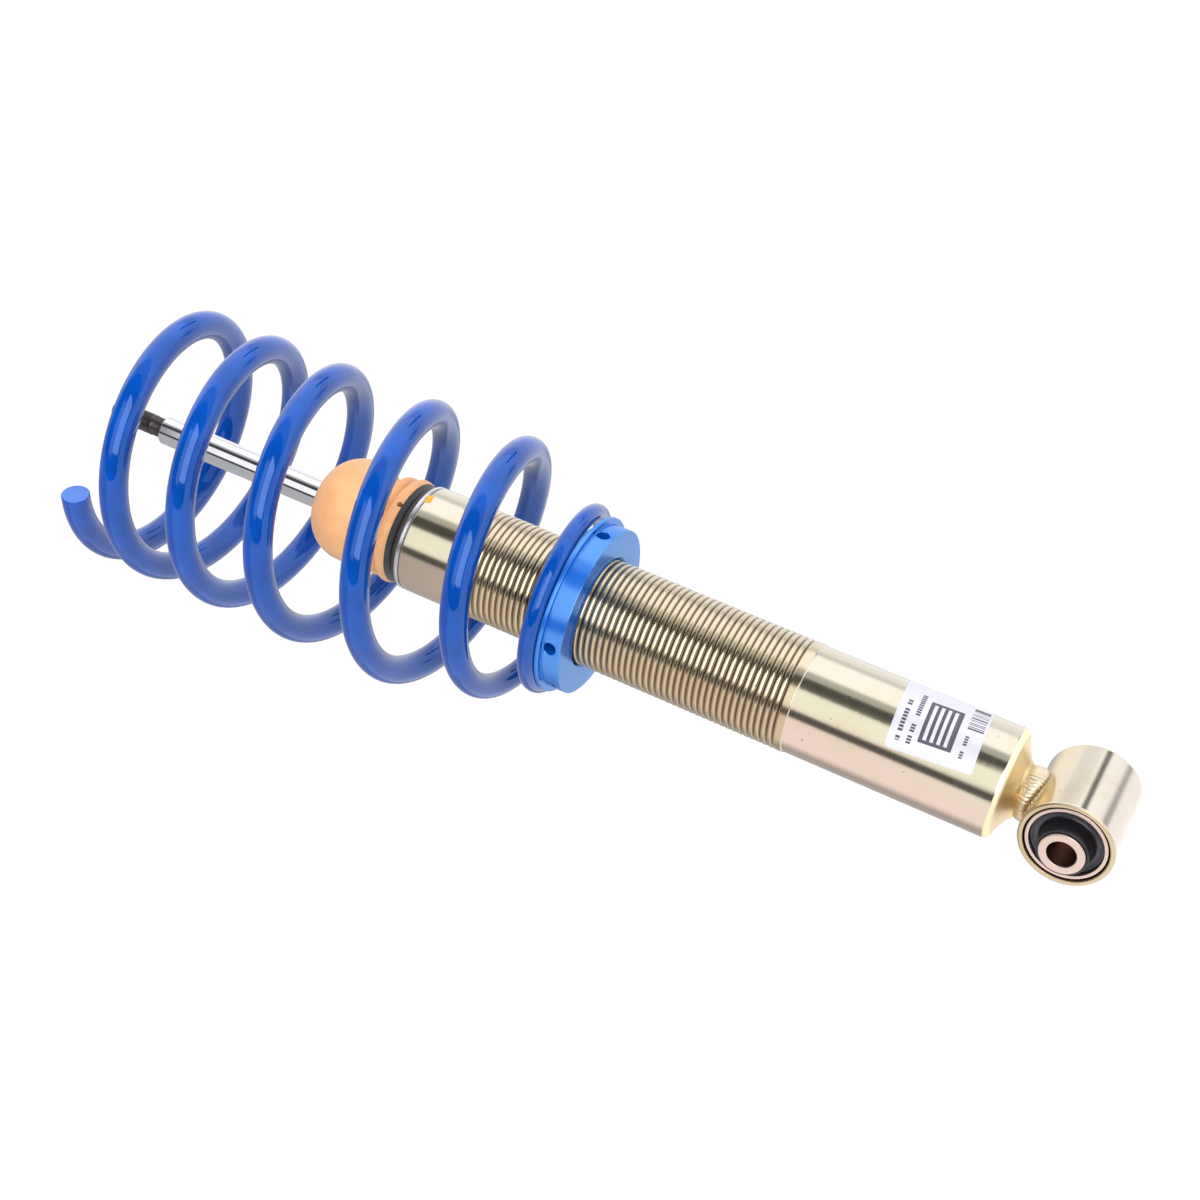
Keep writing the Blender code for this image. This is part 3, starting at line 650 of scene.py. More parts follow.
def place_mesh(name, mesh, body, stands_for=()):
    piece = bpy.data.objects.new(name, mesh)
    bpy.context.scene.collection.objects.link(piece)
    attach(piece, body)
    if stands_for:
        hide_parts(*stands_for)
    print(f"{name}: {len(mesh.polygons)} faces")
    return piece


def turned_shape(outline, segments=128, along="Z"):
    shape = bmesh.new()
    skin_rings(shape, turn_outline(shape, outline, segments))
    shape.transform(AXES[along])
    return shape


# %% A second finish on some faces of a piece
def refinish(piece, material, chosen):
    """Gives another material to the faces for which chosen(face) is true."""
    piece.data.materials.append(material)
    slot = len(piece.data.materials) - 1
    for face in piece.data.polygons:
        if chosen(face):
            face.material_index = slot


def from_z_axis(face):
    return math.hypot(face.center.x, face.center.y)


def from_y_axis(face):
    return math.hypot(face.center.x, face.center.z)


# %% [markdown]
# ## The body tube
#
# The tube is spun shut at the foot into a cone with a rounded rim, threaded for most of its length, and
# left smooth at the head. The thread is one long ribbon wound up the tube: each step round the axis also
# climbs a little, so a turn ends where the next begins and the groove stays crisp with few faces.

# %% Thread as a wound ribbon
THREAD_STEPS = 72
GROOVE_HALF = 0.84 * MM
GROOVE_DEPTH = 0.65 * MM
GROOVE_STATIONS = (-1.5, -1.05, -0.60, -0.42, -0.24, -0.10, 0.10, 0.24, 0.42, 0.60, 1.05)


def groove_depth(across, half, depth):
    """Depth of a round-bottomed groove at a distance from its middle."""
    if abs(across) >= half:
        return 0.0
    return depth * (0.5 + 0.5 * math.cos(math.pi * across / half)) ** 0.8


def wind_thread(shape, radius, foot, turns, pitch, half, depth, stations, steps=THREAD_STEPS):
    """A threaded length from foot upwards. Returns its lowest and highest closed rings."""
    share = pitch / (stations[-1] - stations[0] + stations[1] - stations[0])
    rows = len(stations)
    grid = []
    for row in range(turns * rows + 1):
        turn, place = divmod(row, rows)
        across = stations[place] * share
        ring = []
        for step in range(steps):
            climbed = turn + place / rows + step / steps
            fade = min(1.0, max(0.0, climbed - 0.4), max(0.0, turns - climbed))
            deep = groove_depth(across, half, depth) * fade * fade * (3 - 2 * fade)
            angle = 2 * math.pi * step / steps
            z = foot + pitch * (turn + 0.5 + step / steps) + across
            r = radius - deep
            ring.append(shape.verts.new((r * math.cos(angle), r * math.sin(angle), z)))
        grid.append(ring)
    for row in range(turns * rows):
        for step in range(steps - 1):
            below, above = grid[row], grid[row + 1]
            shape.faces.new((below[step], below[step + 1], above[step + 1], above[step]))
        if row + rows < turns * rows:
            near, far = grid[row], grid[row + rows]
            shape.faces.new((near[-1], far[0], grid[row + rows + 1][0], grid[row + 1][-1]))
    low = turn_outline(shape, [(radius, foot - 0.05 * pitch)], steps)[0]
    top = turn_outline(shape, [(radius, foot + pitch * (turns + 1.05))], steps)[0]
    for step in range(steps - 1):
        shape.faces.new((low[step], low[step + 1], grid[0][step + 1], grid[0][step]))
        shape.faces.new((grid[-1][step], grid[-1][step + 1], top[step + 1], top[step]))
    shape.faces.new([low[-1], low[0]] + [grid[i][0] for i in range(rows + 1)] + [grid[0][-1]])
    seam = [grid[-1 - i][-1] for i in range(rows + 1)]
    shape.faces.new([grid[-1][0], top[0], top[-1]] + seam)
    return low, top


# %% Tube outline below and above the thread
CORNER_TOP = min(z for r, z in tube_outline if r > BODY_R - 0.01 * MM)
NECK_R = max(r for r, z in outline_of("eye_neck"))
CONE_FOOT_R = max(r for r, z in tube_outline if z < TUBE_FOOT + 0.01 * MM)
CONE_LIP = 0.35 * MM
CONE_TOP_R = BODY_R - 2.6 * MM
CONE_TOP = CORNER_TOP - 3.1 * MM
WALL_FLOOR = 2.4 * MM
THREAD_TURNS = 54


def tube_foot_outline():
    """From the axis out along the cone, over the lip and round the rim to the thread's shoulder."""
    flat = TUBE_FOOT
    slope = (CONE_TOP - flat) / (CONE_TOP_R - CONE_FOOT_R)
    outline = [(0.0, flat), (CONE_FOOT_R - 1.5 * MM, flat)]
    for i in range(1, 7):                      # the cone starts as a hollow fillet
        s = i / 6
        outline.append((CONE_FOOT_R + (s * 4.0 - 1.5) * MM, flat + s * s * 2.75 * MM * slope / 0.62))
    outline.append((CONE_TOP_R, CONE_TOP + CONE_LIP))
    outline.append((CONE_TOP_R + 0.25 * MM, CONE_TOP - 0.05 * MM))
    for i in range(1, 11):                     # the rim
        a = math.radians(-78 + 78 * i / 10)
        rim_r, rim_h = BODY_R - CONE_TOP_R - 0.25 * MM, CORNER_TOP - CONE_TOP
        outline.append((BODY_R - rim_r + rim_r * math.cos(a), CORNER_TOP + rim_h * math.sin(a)))
    outline += [(BODY_R, z) for z in np.linspace(CORNER_TOP, SHOULDER_LOW, 12)[1:]]
    outline += [(BODY_R + 0.05 * MM, SHOULDER_LOW + 0.05 * MM), (CREST_R - 0.05 * MM, THREAD_FOOT)]
    outline += [(CREST_R, THREAD_FOOT + 0.12 * MM)]
    return outline


def make_body_tube():
    shape = bmesh.new()
    foot = turn_outline(shape, tube_foot_outline(), THREAD_STEPS)
    skin_rings(shape, foot, closed=False)
    start = THREAD_FOOT + 0.6 * MM
    low, top = wind_thread(
        shape, CREST_R, start, THREAD_TURNS, THREAD_PITCH, GROOVE_HALF, GROOVE_DEPTH, GROOVE_STATIONS
    )
    skin_rings(shape, [foot[-1], low], closed=False)
    head_foot = max(v.co.z for v in top)
    head = [(CREST_R, z) for z in np.linspace(head_foot, TUBE_TOP - 0.6 * MM, 6)[1:]]
    head += [(CREST_R - 0.12 * MM, TUBE_TOP - 0.15 * MM), (CREST_R - 0.5 * MM, TUBE_TOP)]
    head += [(BORE_R, TUBE_TOP)]
    head += [(BORE_R, CORNER_TOP + WALL_FLOOR / 2), (CONE_TOP_R - 1.5 * MM, CONE_TOP + WALL_FLOOR)]
    head += [(CONE_FOOT_R, TUBE_FOOT + WALL_FLOOR), (0.0, TUBE_FOOT + WALL_FLOOR)]
    skin_rings(shape, [top] + turn_outline(shape, head, THREAD_STEPS), closed=False)
    print("thread:", THREAD_TURNS, "turns, head from", round(head_foot / MM, 1), "mm")
    tube = place_piece("body_tube", shape, zinc_body, "damper_body", ("outer_tube",))
    low_edge, high_edge = THREAD_FOOT - 0.05 * MM, head_foot + 0.05 * MM

    def in_thread(face):
        heights = [tube.data.vertices[v].co.z for v in face.vertices]
        return min(heights) > low_edge and max(heights) < high_edge

    def faces_down(face):
        return face.center.z < CORNER_TOP and face.normal.z < -0.08

    bevel_r = CONE_TOP_R + 0.2 * MM
    refinish(tube, zinc_thread, in_thread)
    refinish(tube, zinc_cone, lambda face: faces_down(face) and from_z_axis(face) <= bevel_r)
    # the rim at the foot is painted pale gold as a painted highlight
    refinish(tube, zinc_bevel_and_highlight, lambda face: faces_down(face) and from_z_axis(face) > bevel_r)


make_body_tube()


# %% [markdown]
# ## The eye, its bush and the weld
#
# The eye is a short length of tube with rounded rims. Pressed into it is a bush: an outer sleeve, rubber,
# and a thick inner sleeve that takes the bolt and stands proud of the rubber. The weld that joins eye and
# body is ropy, because the welder lays it as a row of overlapping drops.

# %% Eye ring and sleeves
def band_outline(inner_r, outer_r, low, high, inner_fillet, outer_fillet):
    corners = [(inner_r, low, inner_fillet), (outer_r, low, outer_fillet)]
    corners += [(outer_r, high, outer_fillet), (inner_r, high, inner_fillet)]
    return corners


def make_band(name, node, finish, body, fillets, gap=0.0, segments=144):
    """A short tube across the strut in place of a node. Returns the piece and its inner radius."""
    ring = outline_of(node, "Y")
    inner_r, outer_r = radii_of(ring)
    outline = rounded(band_outline(inner_r, outer_r - gap, ring[0][1], ring[-1][1], *fillets))
    return place_piece(name, turned_shape(outline, segments, "Y"), finish, body, (node,)), inner_r


def make_eye():
    # the eye's finish paints shade as a darker gold on its top, by the neck
    eye, eye_bore_r = make_band(
        "eye", "eye_ring", zinc_eye_and_shade, "damper_body", (0.7 * MM, 1.0 * MM))
    # the eye's end faces and bore edge get a darker straw, which along the bore is painted shade in the gap
    # to the sleeve
    refinish(eye, zinc_rim_and_gap_shade,
             lambda face: abs(face.normal.y) > 0.5 or from_y_axis(face) < eye_bore_r + 0.3 * MM)
    make_band("bush_sleeve", "bush_outer_sleeve", zinc_pink, "damper_body",
              (0.3 * MM, 0.5 * MM), gap=0.35 * MM)
    sleeve, bolt_r = make_band("axle_sleeve_tube", "inner_sleeve", zinc_pink, "axle_sleeve",
                               (0.6 * MM, 0.6 * MM), segments=128)
    # the bore of the inner sleeve is painted brown as painted shade
    refinish(sleeve, zinc_bore_shade, lambda face: from_y_axis(face) < bolt_r + 0.02 * MM)


make_eye()


# %% Rubber of the bush
def make_rubber():
    ring = outline_of("rubber_bush", "Y")
    inner_r, outer_r = radii_of(ring)
    end = ring[-1][1]
    face = max(z for r, z in ring if r > outer_r - 0.01 * MM)
    skin_r = max(r for r, z in ring if z > end - 0.01 * MM)
    upper = [(inner_r, end, 0.1 * MM), (skin_r, end, 0.5 * MM)]
    upper += [(skin_r + 0.1 * MM, face + 1.2 * MM, 0.8 * MM)]
    upper += [(skin_r + 1.2 * MM, face - 0.2 * MM, 0.8 * MM), (outer_r - 1.4 * MM, face - 0.1 * MM, 0.5 * MM)]
    upper += [(outer_r - 0.5 * MM, face + 0.45 * MM, 0.3 * MM), (outer_r, face + 0.45 * MM, 0.1 * MM)]
    lower = [(r, -z, fillet) for r, z, fillet in reversed(upper)]
    bush = place_piece("bush_rubber", turned_shape(rounded(upper + lower), 128, "Y"), rubber, "damper_body",
                       ("rubber_bush",))
    # painted shade: the wall round the inner sleeve gets the darker rubber
    refinish(bush, rubber_skin_and_shade, lambda side: from_y_axis(side) < skin_r + 1.3 * MM)


make_rubber()

# %% Neck and weld bead
EYE_R = max(r for r, z in outline_of("eye_ring", "Y"))
BEAD_R = NECK_R + 1.0 * MM          # where the bead's middle runs
BEAD_HALF_WIDE = 2.4 * MM
BEAD_RIPPLES = 40
BEAD_STEPS = 400
BEAD_SIDES = 18


def eye_surface(x):
    """Height of the top of the eye at a distance from its own axis."""
    return math.sqrt(max(EYE_R * EYE_R - x * x, 0.0))


def make_neck():
    shape = bmesh.new()
    steps = 64
    rings = []
    for share in (0.0, 0.5, 1.0):
        ring = []
        for i in range(steps):
            a = 2 * math.pi * i / steps
            x, y = NECK_R * math.cos(a), NECK_R * math.sin(a)
            low = eye_surface(x) + 0.05 * MM
            ring.append(shape.verts.new((x, y, low + share * (TUBE_FOOT - 0.05 * MM - low))))
        rings.append(ring)
    foot = shape.verts.new((0, 0, EYE_R + 0.05 * MM))
    head = shape.verts.new((0, 0, TUBE_FOOT - 0.05 * MM))
    skin_rings(shape, [[foot], *rings, [head]], closed=False)
    place_piece("neck", shape, zinc_weld, "damper_body", ("eye_neck",), sharp_deg=40)


def make_weld():
    shape = bmesh.new()
    rings = []
    high = TUBE_FOOT + 1.2 * MM
    for i in range(BEAD_STEPS):
        a = 2 * math.pi * i / BEAD_STEPS
        ring = []
        for j in range(BEAD_SIDES):
            b = 2 * math.pi * j / BEAD_SIDES
            sag = 0.45 * math.sin(b) ** 2      # each drop is a chevron, led by its middle
            drop = a * BEAD_RIPPLES / (2 * math.pi) - sag + 0.12 * math.sin(3 * a)
            lift = 1 - 0.11 * (2 * (drop % 1.0) - 1) ** 2 + 0.05 * math.sin(3 * a + 1.0)
            r = BEAD_R + BEAD_HALF_WIDE * lift * math.cos(b)
            low = eye_surface(r * math.cos(a)) - 0.60 * MM
            z = low + (high - low) * (0.5 + 0.5 * lift * math.sin(b))
            ring.append(shape.verts.new((r * math.cos(a), r * math.sin(a), z)))
        rings.append(ring)
    skin_rings(shape, rings, closed=True)
    place_piece("weld_bead", shape, zinc_weld, "damper_body", ("neck_weld",))


make_neck()
make_weld()


# %% [markdown]
# ## The head: closure, rod and bump stop
#
# The tube's mouth is rolled over a closure ring, which shows as a bright bead with a dark line under it.
# The rod leaves through it: 14 mm of chrome with a chamfered shoulder, and a blackened 10 mm end with a
# fine thread for the top mount's nut. The bump stop is a cork-shaped spring of foamed polyurethane.

# %% Closure ring
def make_closure():
    ring = outline_of("closure_ring")
    open_r, outer_r = radii_of(ring)
    top, low = ring[-1][1], ring[0][1]
    rim_low = min(z for r, z in ring if r > outer_r - 0.01 * MM)
    spigot_r = max(r for r, z in ring if z < low + 0.01 * MM)
    corners = [
        (open_r, top, 0.4 * MM), (outer_r, top, 1.1 * MM),
        (outer_r, rim_low + 0.75 * MM, 0.35 * MM), (outer_r - 0.45 * MM, rim_low + 0.60 * MM, 0.1 * MM),
        (outer_r - 0.45 * MM, rim_low + 0.35 * MM, 0.1 * MM),
        (outer_r - 0.05 * MM, rim_low + 0.25 * MM, 0.1 * MM), (outer_r - 0.05 * MM, rim_low, 0.1 * MM),
        (spigot_r, rim_low, 0.1 * MM), (spigot_r, low, 0.2 * MM), (open_r, low, 0.2 * MM),
    ]
    place_piece("closure", turned_shape(rounded(corners), 144), closure_steel, "damper_body",
                ("closure_ring",))


make_closure()

# %% Rod
ROD = outline_of("piston_rod")
ROD_R = max(r for r, z in ROD)
ROD_TOP = ROD[-1][1]
ROD_FOOT = ROD[0][1]
SHOULDER = max(z for r, z in ROD if r > 0.7 * ROD_R and z < ROD_TOP - 5 * MM)
ROD_END_R = max(r for r, z in ROD if z > SHOULDER + 1 * MM)
SPIGOT_R = max(r for r, z in ROD if z < ROD_FOOT + 0.01 * MM)
ROD_STEP = min(z for r, z in ROD if r > ROD_R - 0.01 * MM)
END_THREAD_PITCH = 1.0 * MM
END_GROOVE_HALF = 0.42 * MM
END_GROOVE_DEPTH = 0.5 * MM
END_STATIONS = (-0.5, -0.36, -0.2, 0.0, 0.2, 0.36)
END_NECK = 6.0 * MM
SOCKET_ACROSS = 5.0 * MM
SOCKET_DEEP = 6.0 * MM


def socket_rings(shape, half_across, heights, steps):
    """Rings of a hexagon socket, with as many points as the round rings that they join."""
    rings = []
    for z in heights:
        ring = []
        for i in range(steps):
            a = 2 * math.pi * i / steps
            side = half_across / math.cos((a + math.pi / 6) % (math.pi / 3) - math.pi / 6)
            ring.append(shape.verts.new((side * math.cos(a), side * math.sin(a), z)))
        rings.append(ring)
    return rings


def make_rod():
    corners = [
        (0.0, ROD_FOOT, 0.0), (SPIGOT_R, ROD_FOOT, 0.4 * MM), (SPIGOT_R, ROD_STEP, 0.1 * MM),
        (ROD_R, ROD_STEP, 0.3 * MM), (ROD_R, SHOULDER - 1.0 * MM, 0.15 * MM),
        (ROD_R - 1.0 * MM, SHOULDER, 0.15 * MM), (ROD_END_R - 0.3 * MM, SHOULDER, 0.05 * MM),
        (0.0, SHOULDER, 0.0),
    ]
    place_piece("rod_shaft", turned_shape(rounded(corners), 96), chrome, "rod", ("piston_rod",))

    shape = bmesh.new()
    steps = 48
    neck_r, neck_top = ROD_END_R - 0.2 * MM, SHOULDER + END_NECK
    outline = [(0.0, SHOULDER + 0.02 * MM), (neck_r, SHOULDER + 0.02 * MM)]
    outline += [(neck_r, neck_top), (ROD_END_R, neck_top + 0.3 * MM)]
    foot = turn_outline(shape, outline, steps)
    skin_rings(shape, foot, closed=False)
    turns = int((ROD_TOP - SHOULDER - END_NECK - 3.2 * MM) / END_THREAD_PITCH)
    low, top = wind_thread(shape, ROD_END_R, neck_top + 0.6 * MM, turns, END_THREAD_PITCH,
                           END_GROOVE_HALF, END_GROOVE_DEPTH, END_STATIONS, steps)
    skin_rings(shape, [foot[-1], low], closed=False)
    hexagon = SOCKET_ACROSS / 2 / math.cos(math.pi / 6)
    tip = turn_outline(shape, [(ROD_END_R, ROD_TOP - 0.9 * MM), (ROD_END_R - 0.9 * MM, ROD_TOP),
                               (hexagon + 0.4 * MM, ROD_TOP)], steps)
    skin_rings(shape, [top, *tip], closed=False)
    hexes = socket_rings(shape, SOCKET_ACROSS / 2, (ROD_TOP - 0.3 * MM, ROD_TOP - SOCKET_DEEP), steps)
    bottom = shape.verts.new((0, 0, ROD_TOP - SOCKET_DEEP - 1.2 * MM))
    skin_rings(shape, [tip[-1], *hexes, [bottom]], closed=False)
    place_piece("rod_end", shape, black_oxide, "rod", ("piston_rod",), sharp_deg=35)


make_rod()


# %% [markdown]
# Both the bump stop and the collar have holes drilled towards the axis. A Boolean cuts them, and each
# cutter flares at the surface, so the hole gets its own small chamfer.

# %% Cutting radial holes
def radial_drill(shape, radius, flare, reach, surface_r, deg, z):
    """Adds one closed drill to a bmesh: a rod that widens where it leaves the surface."""
    place = Matrix.Rotation(math.radians(deg), 4, "Z") @ Matrix.Translation((surface_r, 0, z))
    place = place @ Matrix.Rotation(math.radians(90), 4, "Y")
    wide = radius + 2 * flare
    outline = [(0.0, -reach), (radius, -reach), (radius, -flare), (wide, flare), (wide, reach), (0.0, reach)]
    made = bmesh.new()
    skin_rings(made, turn_outline(made, outline, 40))
    bmesh.ops.recalc_face_normals(made, faces=made.faces)
    made.transform(place)
    scratch = bpy.data.meshes.new("drill")
    made.to_mesh(scratch)
    made.free()
    shape.from_mesh(scratch)
    bpy.data.meshes.remove(scratch)


def carve(piece, drills):
    """Cuts drills, a bmesh of closed bodies, from a piece, and keeps the result as its plain mesh."""
    mesh = bpy.data.meshes.new("drills")
    drills.to_mesh(mesh)
    drills.free()
    cutter = bpy.data.objects.new("drills", mesh)
    bpy.context.scene.collection.objects.link(cutter)
    cut = piece.modifiers.new("holes", "BOOLEAN")
    cut.operation = "DIFFERENCE"
    cut.object = cutter
    result = bpy.data.meshes.new_from_object(piece.evaluated_get(bpy.context.evaluated_depsgraph_get()))
    piece.modifiers.clear()
    bpy.data.objects.remove(cutter)
    return result


def mesh_object(name, shape, material):
    """A bare object, not yet a piece of the frame, to run modifiers on."""
    bmesh.ops.recalc_face_normals(shape, faces=shape.faces)
    mesh = bpy.data.meshes.new(name)
    shape.to_mesh(mesh)
    shape.free()
    mesh.materials.append(material)
    made = bpy.data.objects.new(name, mesh)
    bpy.context.scene.collection.objects.link(made)
    return made


# %% [markdown]
# The stop's outline is written from the top down: a dome, a crease where the mould closed, a waist that
# lets it fold, and two beads. It has one vent, and its lowest edge is painted black as painted shadow, the
# dark band between the stop and the ring below it.

# %% Bump stop
# heights are shares of the stop's own height
DOME_SHARE = 0.36
CREASE_AT = 0.575
WAIST_AT, WAIST_HALF = 0.37, 0.075
STOP_BEADS = ((0.235, 0.062, 1.1 * MM), (0.105, 0.066, 0.0))   # middle, half height, metres inside the lip
BEAD_ROUND = 3.4 * MM
# share of the stop's height that is painted black as painted shadow
SHADE_SHARE = 0.062
VENT_DEG = -28.0
VENT_R = 1.3 * MM
VENT_UP = 4.0 * MM


def make_bump_stop():
    ring = outline_of("bump_stop")
    low, top = ring[0][1], ring[-1][1]
    bore_r = min(r for r, z in ring)
    tall = top - low
    wide_r = max(r for r, z in ring if z > low + 0.5 * tall)
    lip_r = max(r for r, z in ring if z < low + 0.3 * tall)
    waist_r = max(r for r, z in ring if abs(z - low - 0.36 * tall) < 0.02 * tall)
    flat_r = max(r for r, z in ring if z > top - 0.01 * MM)
    outline = [(bore_r, top - 0.5 * MM), (bore_r + 0.5 * MM, top), (flat_r - 1.0 * MM, top)]
    dome = DOME_SHARE * tall
    for i in range(1, 17):
        a = math.radians(90 - 82 * i / 16)
        out, up = math.cos(a) ** 1.2, math.sin(a)
        outline.append((flat_r + (wide_r - flat_r) * out, top - dome + dome * up))
    crease = low + CREASE_AT * tall
    outline += [(wide_r - 0.05 * MM, crease + 1.2 * MM), (wide_r - 0.20 * MM, crease)]
    outline += [(wide_r - 0.45 * MM, crease - 0.8 * MM)]
    outline += [(wide_r - 0.9 * MM, low + 0.50 * tall), (wide_r - 1.6 * MM, low + 0.47 * tall)]
    rim_r = wide_r - 1.5 * MM
    for i in range(9):
        a = math.radians(110 + 140 * i / 8)
        z = low + WAIST_AT * tall + WAIST_HALF * tall * math.sin(a)
        outline.append((rim_r + (rim_r - waist_r) * math.cos(a), z))
    for middle, half, inside in STOP_BEADS:
        bead_r = lip_r - inside - BEAD_ROUND
        for i in range(9):
            a = math.radians(62 - 124 * i / 8)
            z = low + middle * tall + half * tall * math.sin(a)
            outline.append((bead_r + BEAD_ROUND * math.cos(a), z))
    outline += [(lip_r - 2.4 * MM, low + 0.03 * tall), (lip_r - 3.4 * MM, low + 0.006 * tall)]
    outline += [(lip_r - 3.9 * MM, low), (bore_r + 0.4 * MM, low), (bore_r, low + 0.4 * MM)]
    blank = mesh_object("stop_blank", turned_shape(outline, 144), foam)
    drills = bmesh.new()
    radial_drill(drills, VENT_R, 0.2 * MM, 6.0 * MM, lip_r - 0.2 * MM, VENT_DEG, low + VENT_UP)
    mesh = carve(blank, drills)
    bpy.data.objects.remove(blank)
    mesh.shade_smooth()
    mesh.set_sharp_from_angle(angle=math.radians(40))
    stop = place_mesh("polyurethane_stop", mesh, "stop", ("bump_stop",))
    # painted shadow: the stop's lowest edge is given the black plastic
    shade_top, shade_from_r = low + SHADE_SHARE * tall, bore_r + 1 * MM
    refinish(stop, plastic, lambda face: face.center.z < shade_top and from_z_axis(face) > shade_from_r)


make_bump_stop()


# %% Ring under the stop
def make_stop_ring():
    ring = outline_of("bump_stop_seat")
    outline = rounded(band_outline(*radii_of(ring), ring[0][1], ring[-1][1], 0.3 * MM, 0.8 * MM))
    place_piece("stop_ring", turned_shape(outline, 128), plastic, "stop", ("bump_stop_seat",))


make_stop_ring()

# %% [markdown]
# ## Collar
#
# The collar is an aluminium nut as wide as the spring's end coil, turned with a thin flange and a spigot
# that centres that coil. Four blind holes take the pin of a hook spanner, and a small set screw locks the
# collar on the thread.


# %% Collar with its holes
COLLAR_LOW, COLLAR_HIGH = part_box("spring_collar")
SCREW_LOW, SCREW_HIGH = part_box("lock_screw")
SCREW_MIDDLE = (SCREW_LOW + SCREW_HIGH) / 2
HOLE_Z = SCREW_MIDDLE.z
SCREW_DEG = math.degrees(math.atan2(SCREW_MIDDLE.y, SCREW_MIDDLE.x))
SPANNER_DEG = (2.0, 92.0, 182.0, 272.0)
SPANNER_R = 3.0 * MM


def make_collar():
    ring = outline_of("spring_collar")
    foot = COLLAR_LOW.z
    bore_r = min(r for r, z in ring)
    flange_r = max(COLLAR_HIGH.x, COLLAR_HIGH.y)
    flange_top = max(z for r, z in ring if r > flange_r - 0.05 * MM)
    flange_low = min(z for r, z in ring if r > flange_r - 0.05 * MM)
    body_r = max(r for r, z in ring if z < foot + 2 * MM)
    spigot_top = COLLAR_HIGH.z
    spigot_r = max(r for r, z in ring if z > spigot_top - 3 * MM)
    bevel = 1.2 * MM
    corners = [
        (bore_r + bevel, spigot_top, 0.1 * MM), (spigot_r - bevel, spigot_top, 0.3 * MM),
        (spigot_r, spigot_top - bevel, 0.3 * MM), (spigot_r, flange_top, 0.5 * MM),
        (flange_r, flange_top, 0.35 * MM), (flange_r, flange_low, 0.35 * MM),
        (body_r, flange_low, 0.3 * MM), (body_r, foot, 0.4 * MM), (bore_r + bevel, foot, 0.15 * MM),
        (bore_r, foot + bevel, 0.1 * MM), (bore_r, spigot_top - bevel, 0.1 * MM),
    ]
    blank = mesh_object("collar_blank", turned_shape(rounded(corners), 160), anodised)
    drills = bmesh.new()
    for deg in SPANNER_DEG:
        radial_drill(drills, SPANNER_R, 0.25 * MM, 9.0 * MM, body_r, deg, HOLE_Z)
    screw_r = (SCREW_HIGH.z - SCREW_LOW.z) / 2
    wall = body_r - bore_r
    radial_drill(drills, screw_r + 0.25 * MM, 0.2 * MM, 0.97 * wall, body_r, SCREW_DEG, HOLE_Z)
    mesh = carve(blank, drills)
    bpy.data.objects.remove(blank)
    mesh.shade_smooth()
    mesh.set_sharp_from_angle(angle=math.radians(28))
    place_mesh("adjusting_collar", mesh, "collar", ("spring_collar",))
    return body_r, bore_r, screw_r


collar_body_r, collar_bore_r, screw_r = make_collar()


# %% Set screw with a hexagon socket
SCREW_SOCKET_HALF = 1.25 * MM


def make_set_screw():
    shape = bmesh.new()
    steps = 36
    inner, outer = collar_bore_r + 0.7 * MM, collar_body_r - 0.6 * MM
    outline = [(0.0, inner), (screw_r * 0.6, inner), (screw_r, inner + 1.0 * MM)]
    outline += [(screw_r, outer - 0.4 * MM), (screw_r - 0.4 * MM, outer)]
    rings = turn_outline(shape, outline, steps)
    hexes = socket_rings(shape, SCREW_SOCKET_HALF, (outer, outer - 2.2 * MM), steps)
    bottom = shape.verts.new((0, 0, outer - 3.0 * MM))
    skin_rings(shape, [*rings, *hexes, [bottom]], closed=False)
    lay = Matrix.Rotation(math.radians(SCREW_DEG), 4, "Z") @ Matrix.Translation((0, 0, HOLE_Z))
    shape.transform(lay @ Matrix.Rotation(math.radians(90), 4, "Y"))
    place_piece("set_screw", shape, machined, "collar", ("lock_screw",), sharp_deg=35)


make_set_screw()


# %% [markdown]
# ## Spring
#
# A coil spring follows one rule: turn by turn it climbs by the pitch, and here its radius and the wire's
# thickness also grow out of a small tapered end coil. That is a job for Geometry Nodes: a line of points is
# bent into the coil by its own sums, and a circle is swept along it. The pitch changes from turn to turn,
# so the height is the running total of the pitch, which the Accumulate Field node adds up.

# %% The spring's rule
COLLAR_SEAT = max(z for r, z in outline_of("spring_collar") if r > collar_body_r)
SPRING_LOW, SPRING_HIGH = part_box("coil_spring")
WIRE_R = 6.70 * MM
END_WIRE_R = 4.20 * MM
FULL_R = 59.20 * MM
END_R = 41.20 * MM
SPRING_OFF_AXIS = 3.20 * MM
OFF_AXIS_DEG = -141.0
TIP_DEG = 129.4
SPRING_TURNS = 6.375
STEPS_A_TURN = 72
WIRE_SIDES = 32
OPENING_OUT = (0.65, 1.80)
MOVING_OFF = (0.60, 2.10)
THICKENING = (0.70, 1.60)
# (turns from the tip, pitch in metres a turn): the ends are closed and the middle is open
LOWER_PITCH = ((0.45, 0.000), (0.90, 0.040), (1.40, 0.043), (2.20, 0.0505), (3.00, 0.0525))
# and these are counted down from the top
UPPER_PITCH = ((2.775, 0.047), (1.975, 0.036), (1.175, 0.039), (0.775, 0.031), (0.375, 0.019), (0.0, 0.012))


# %% Geometry nodes that wind it
def named_input(made, name, value, kind="NodeSocketFloat"):
    socket = made.interface.new_socket(name=name, in_out="INPUT", socket_type=kind)
    socket.default_value = value
    return socket


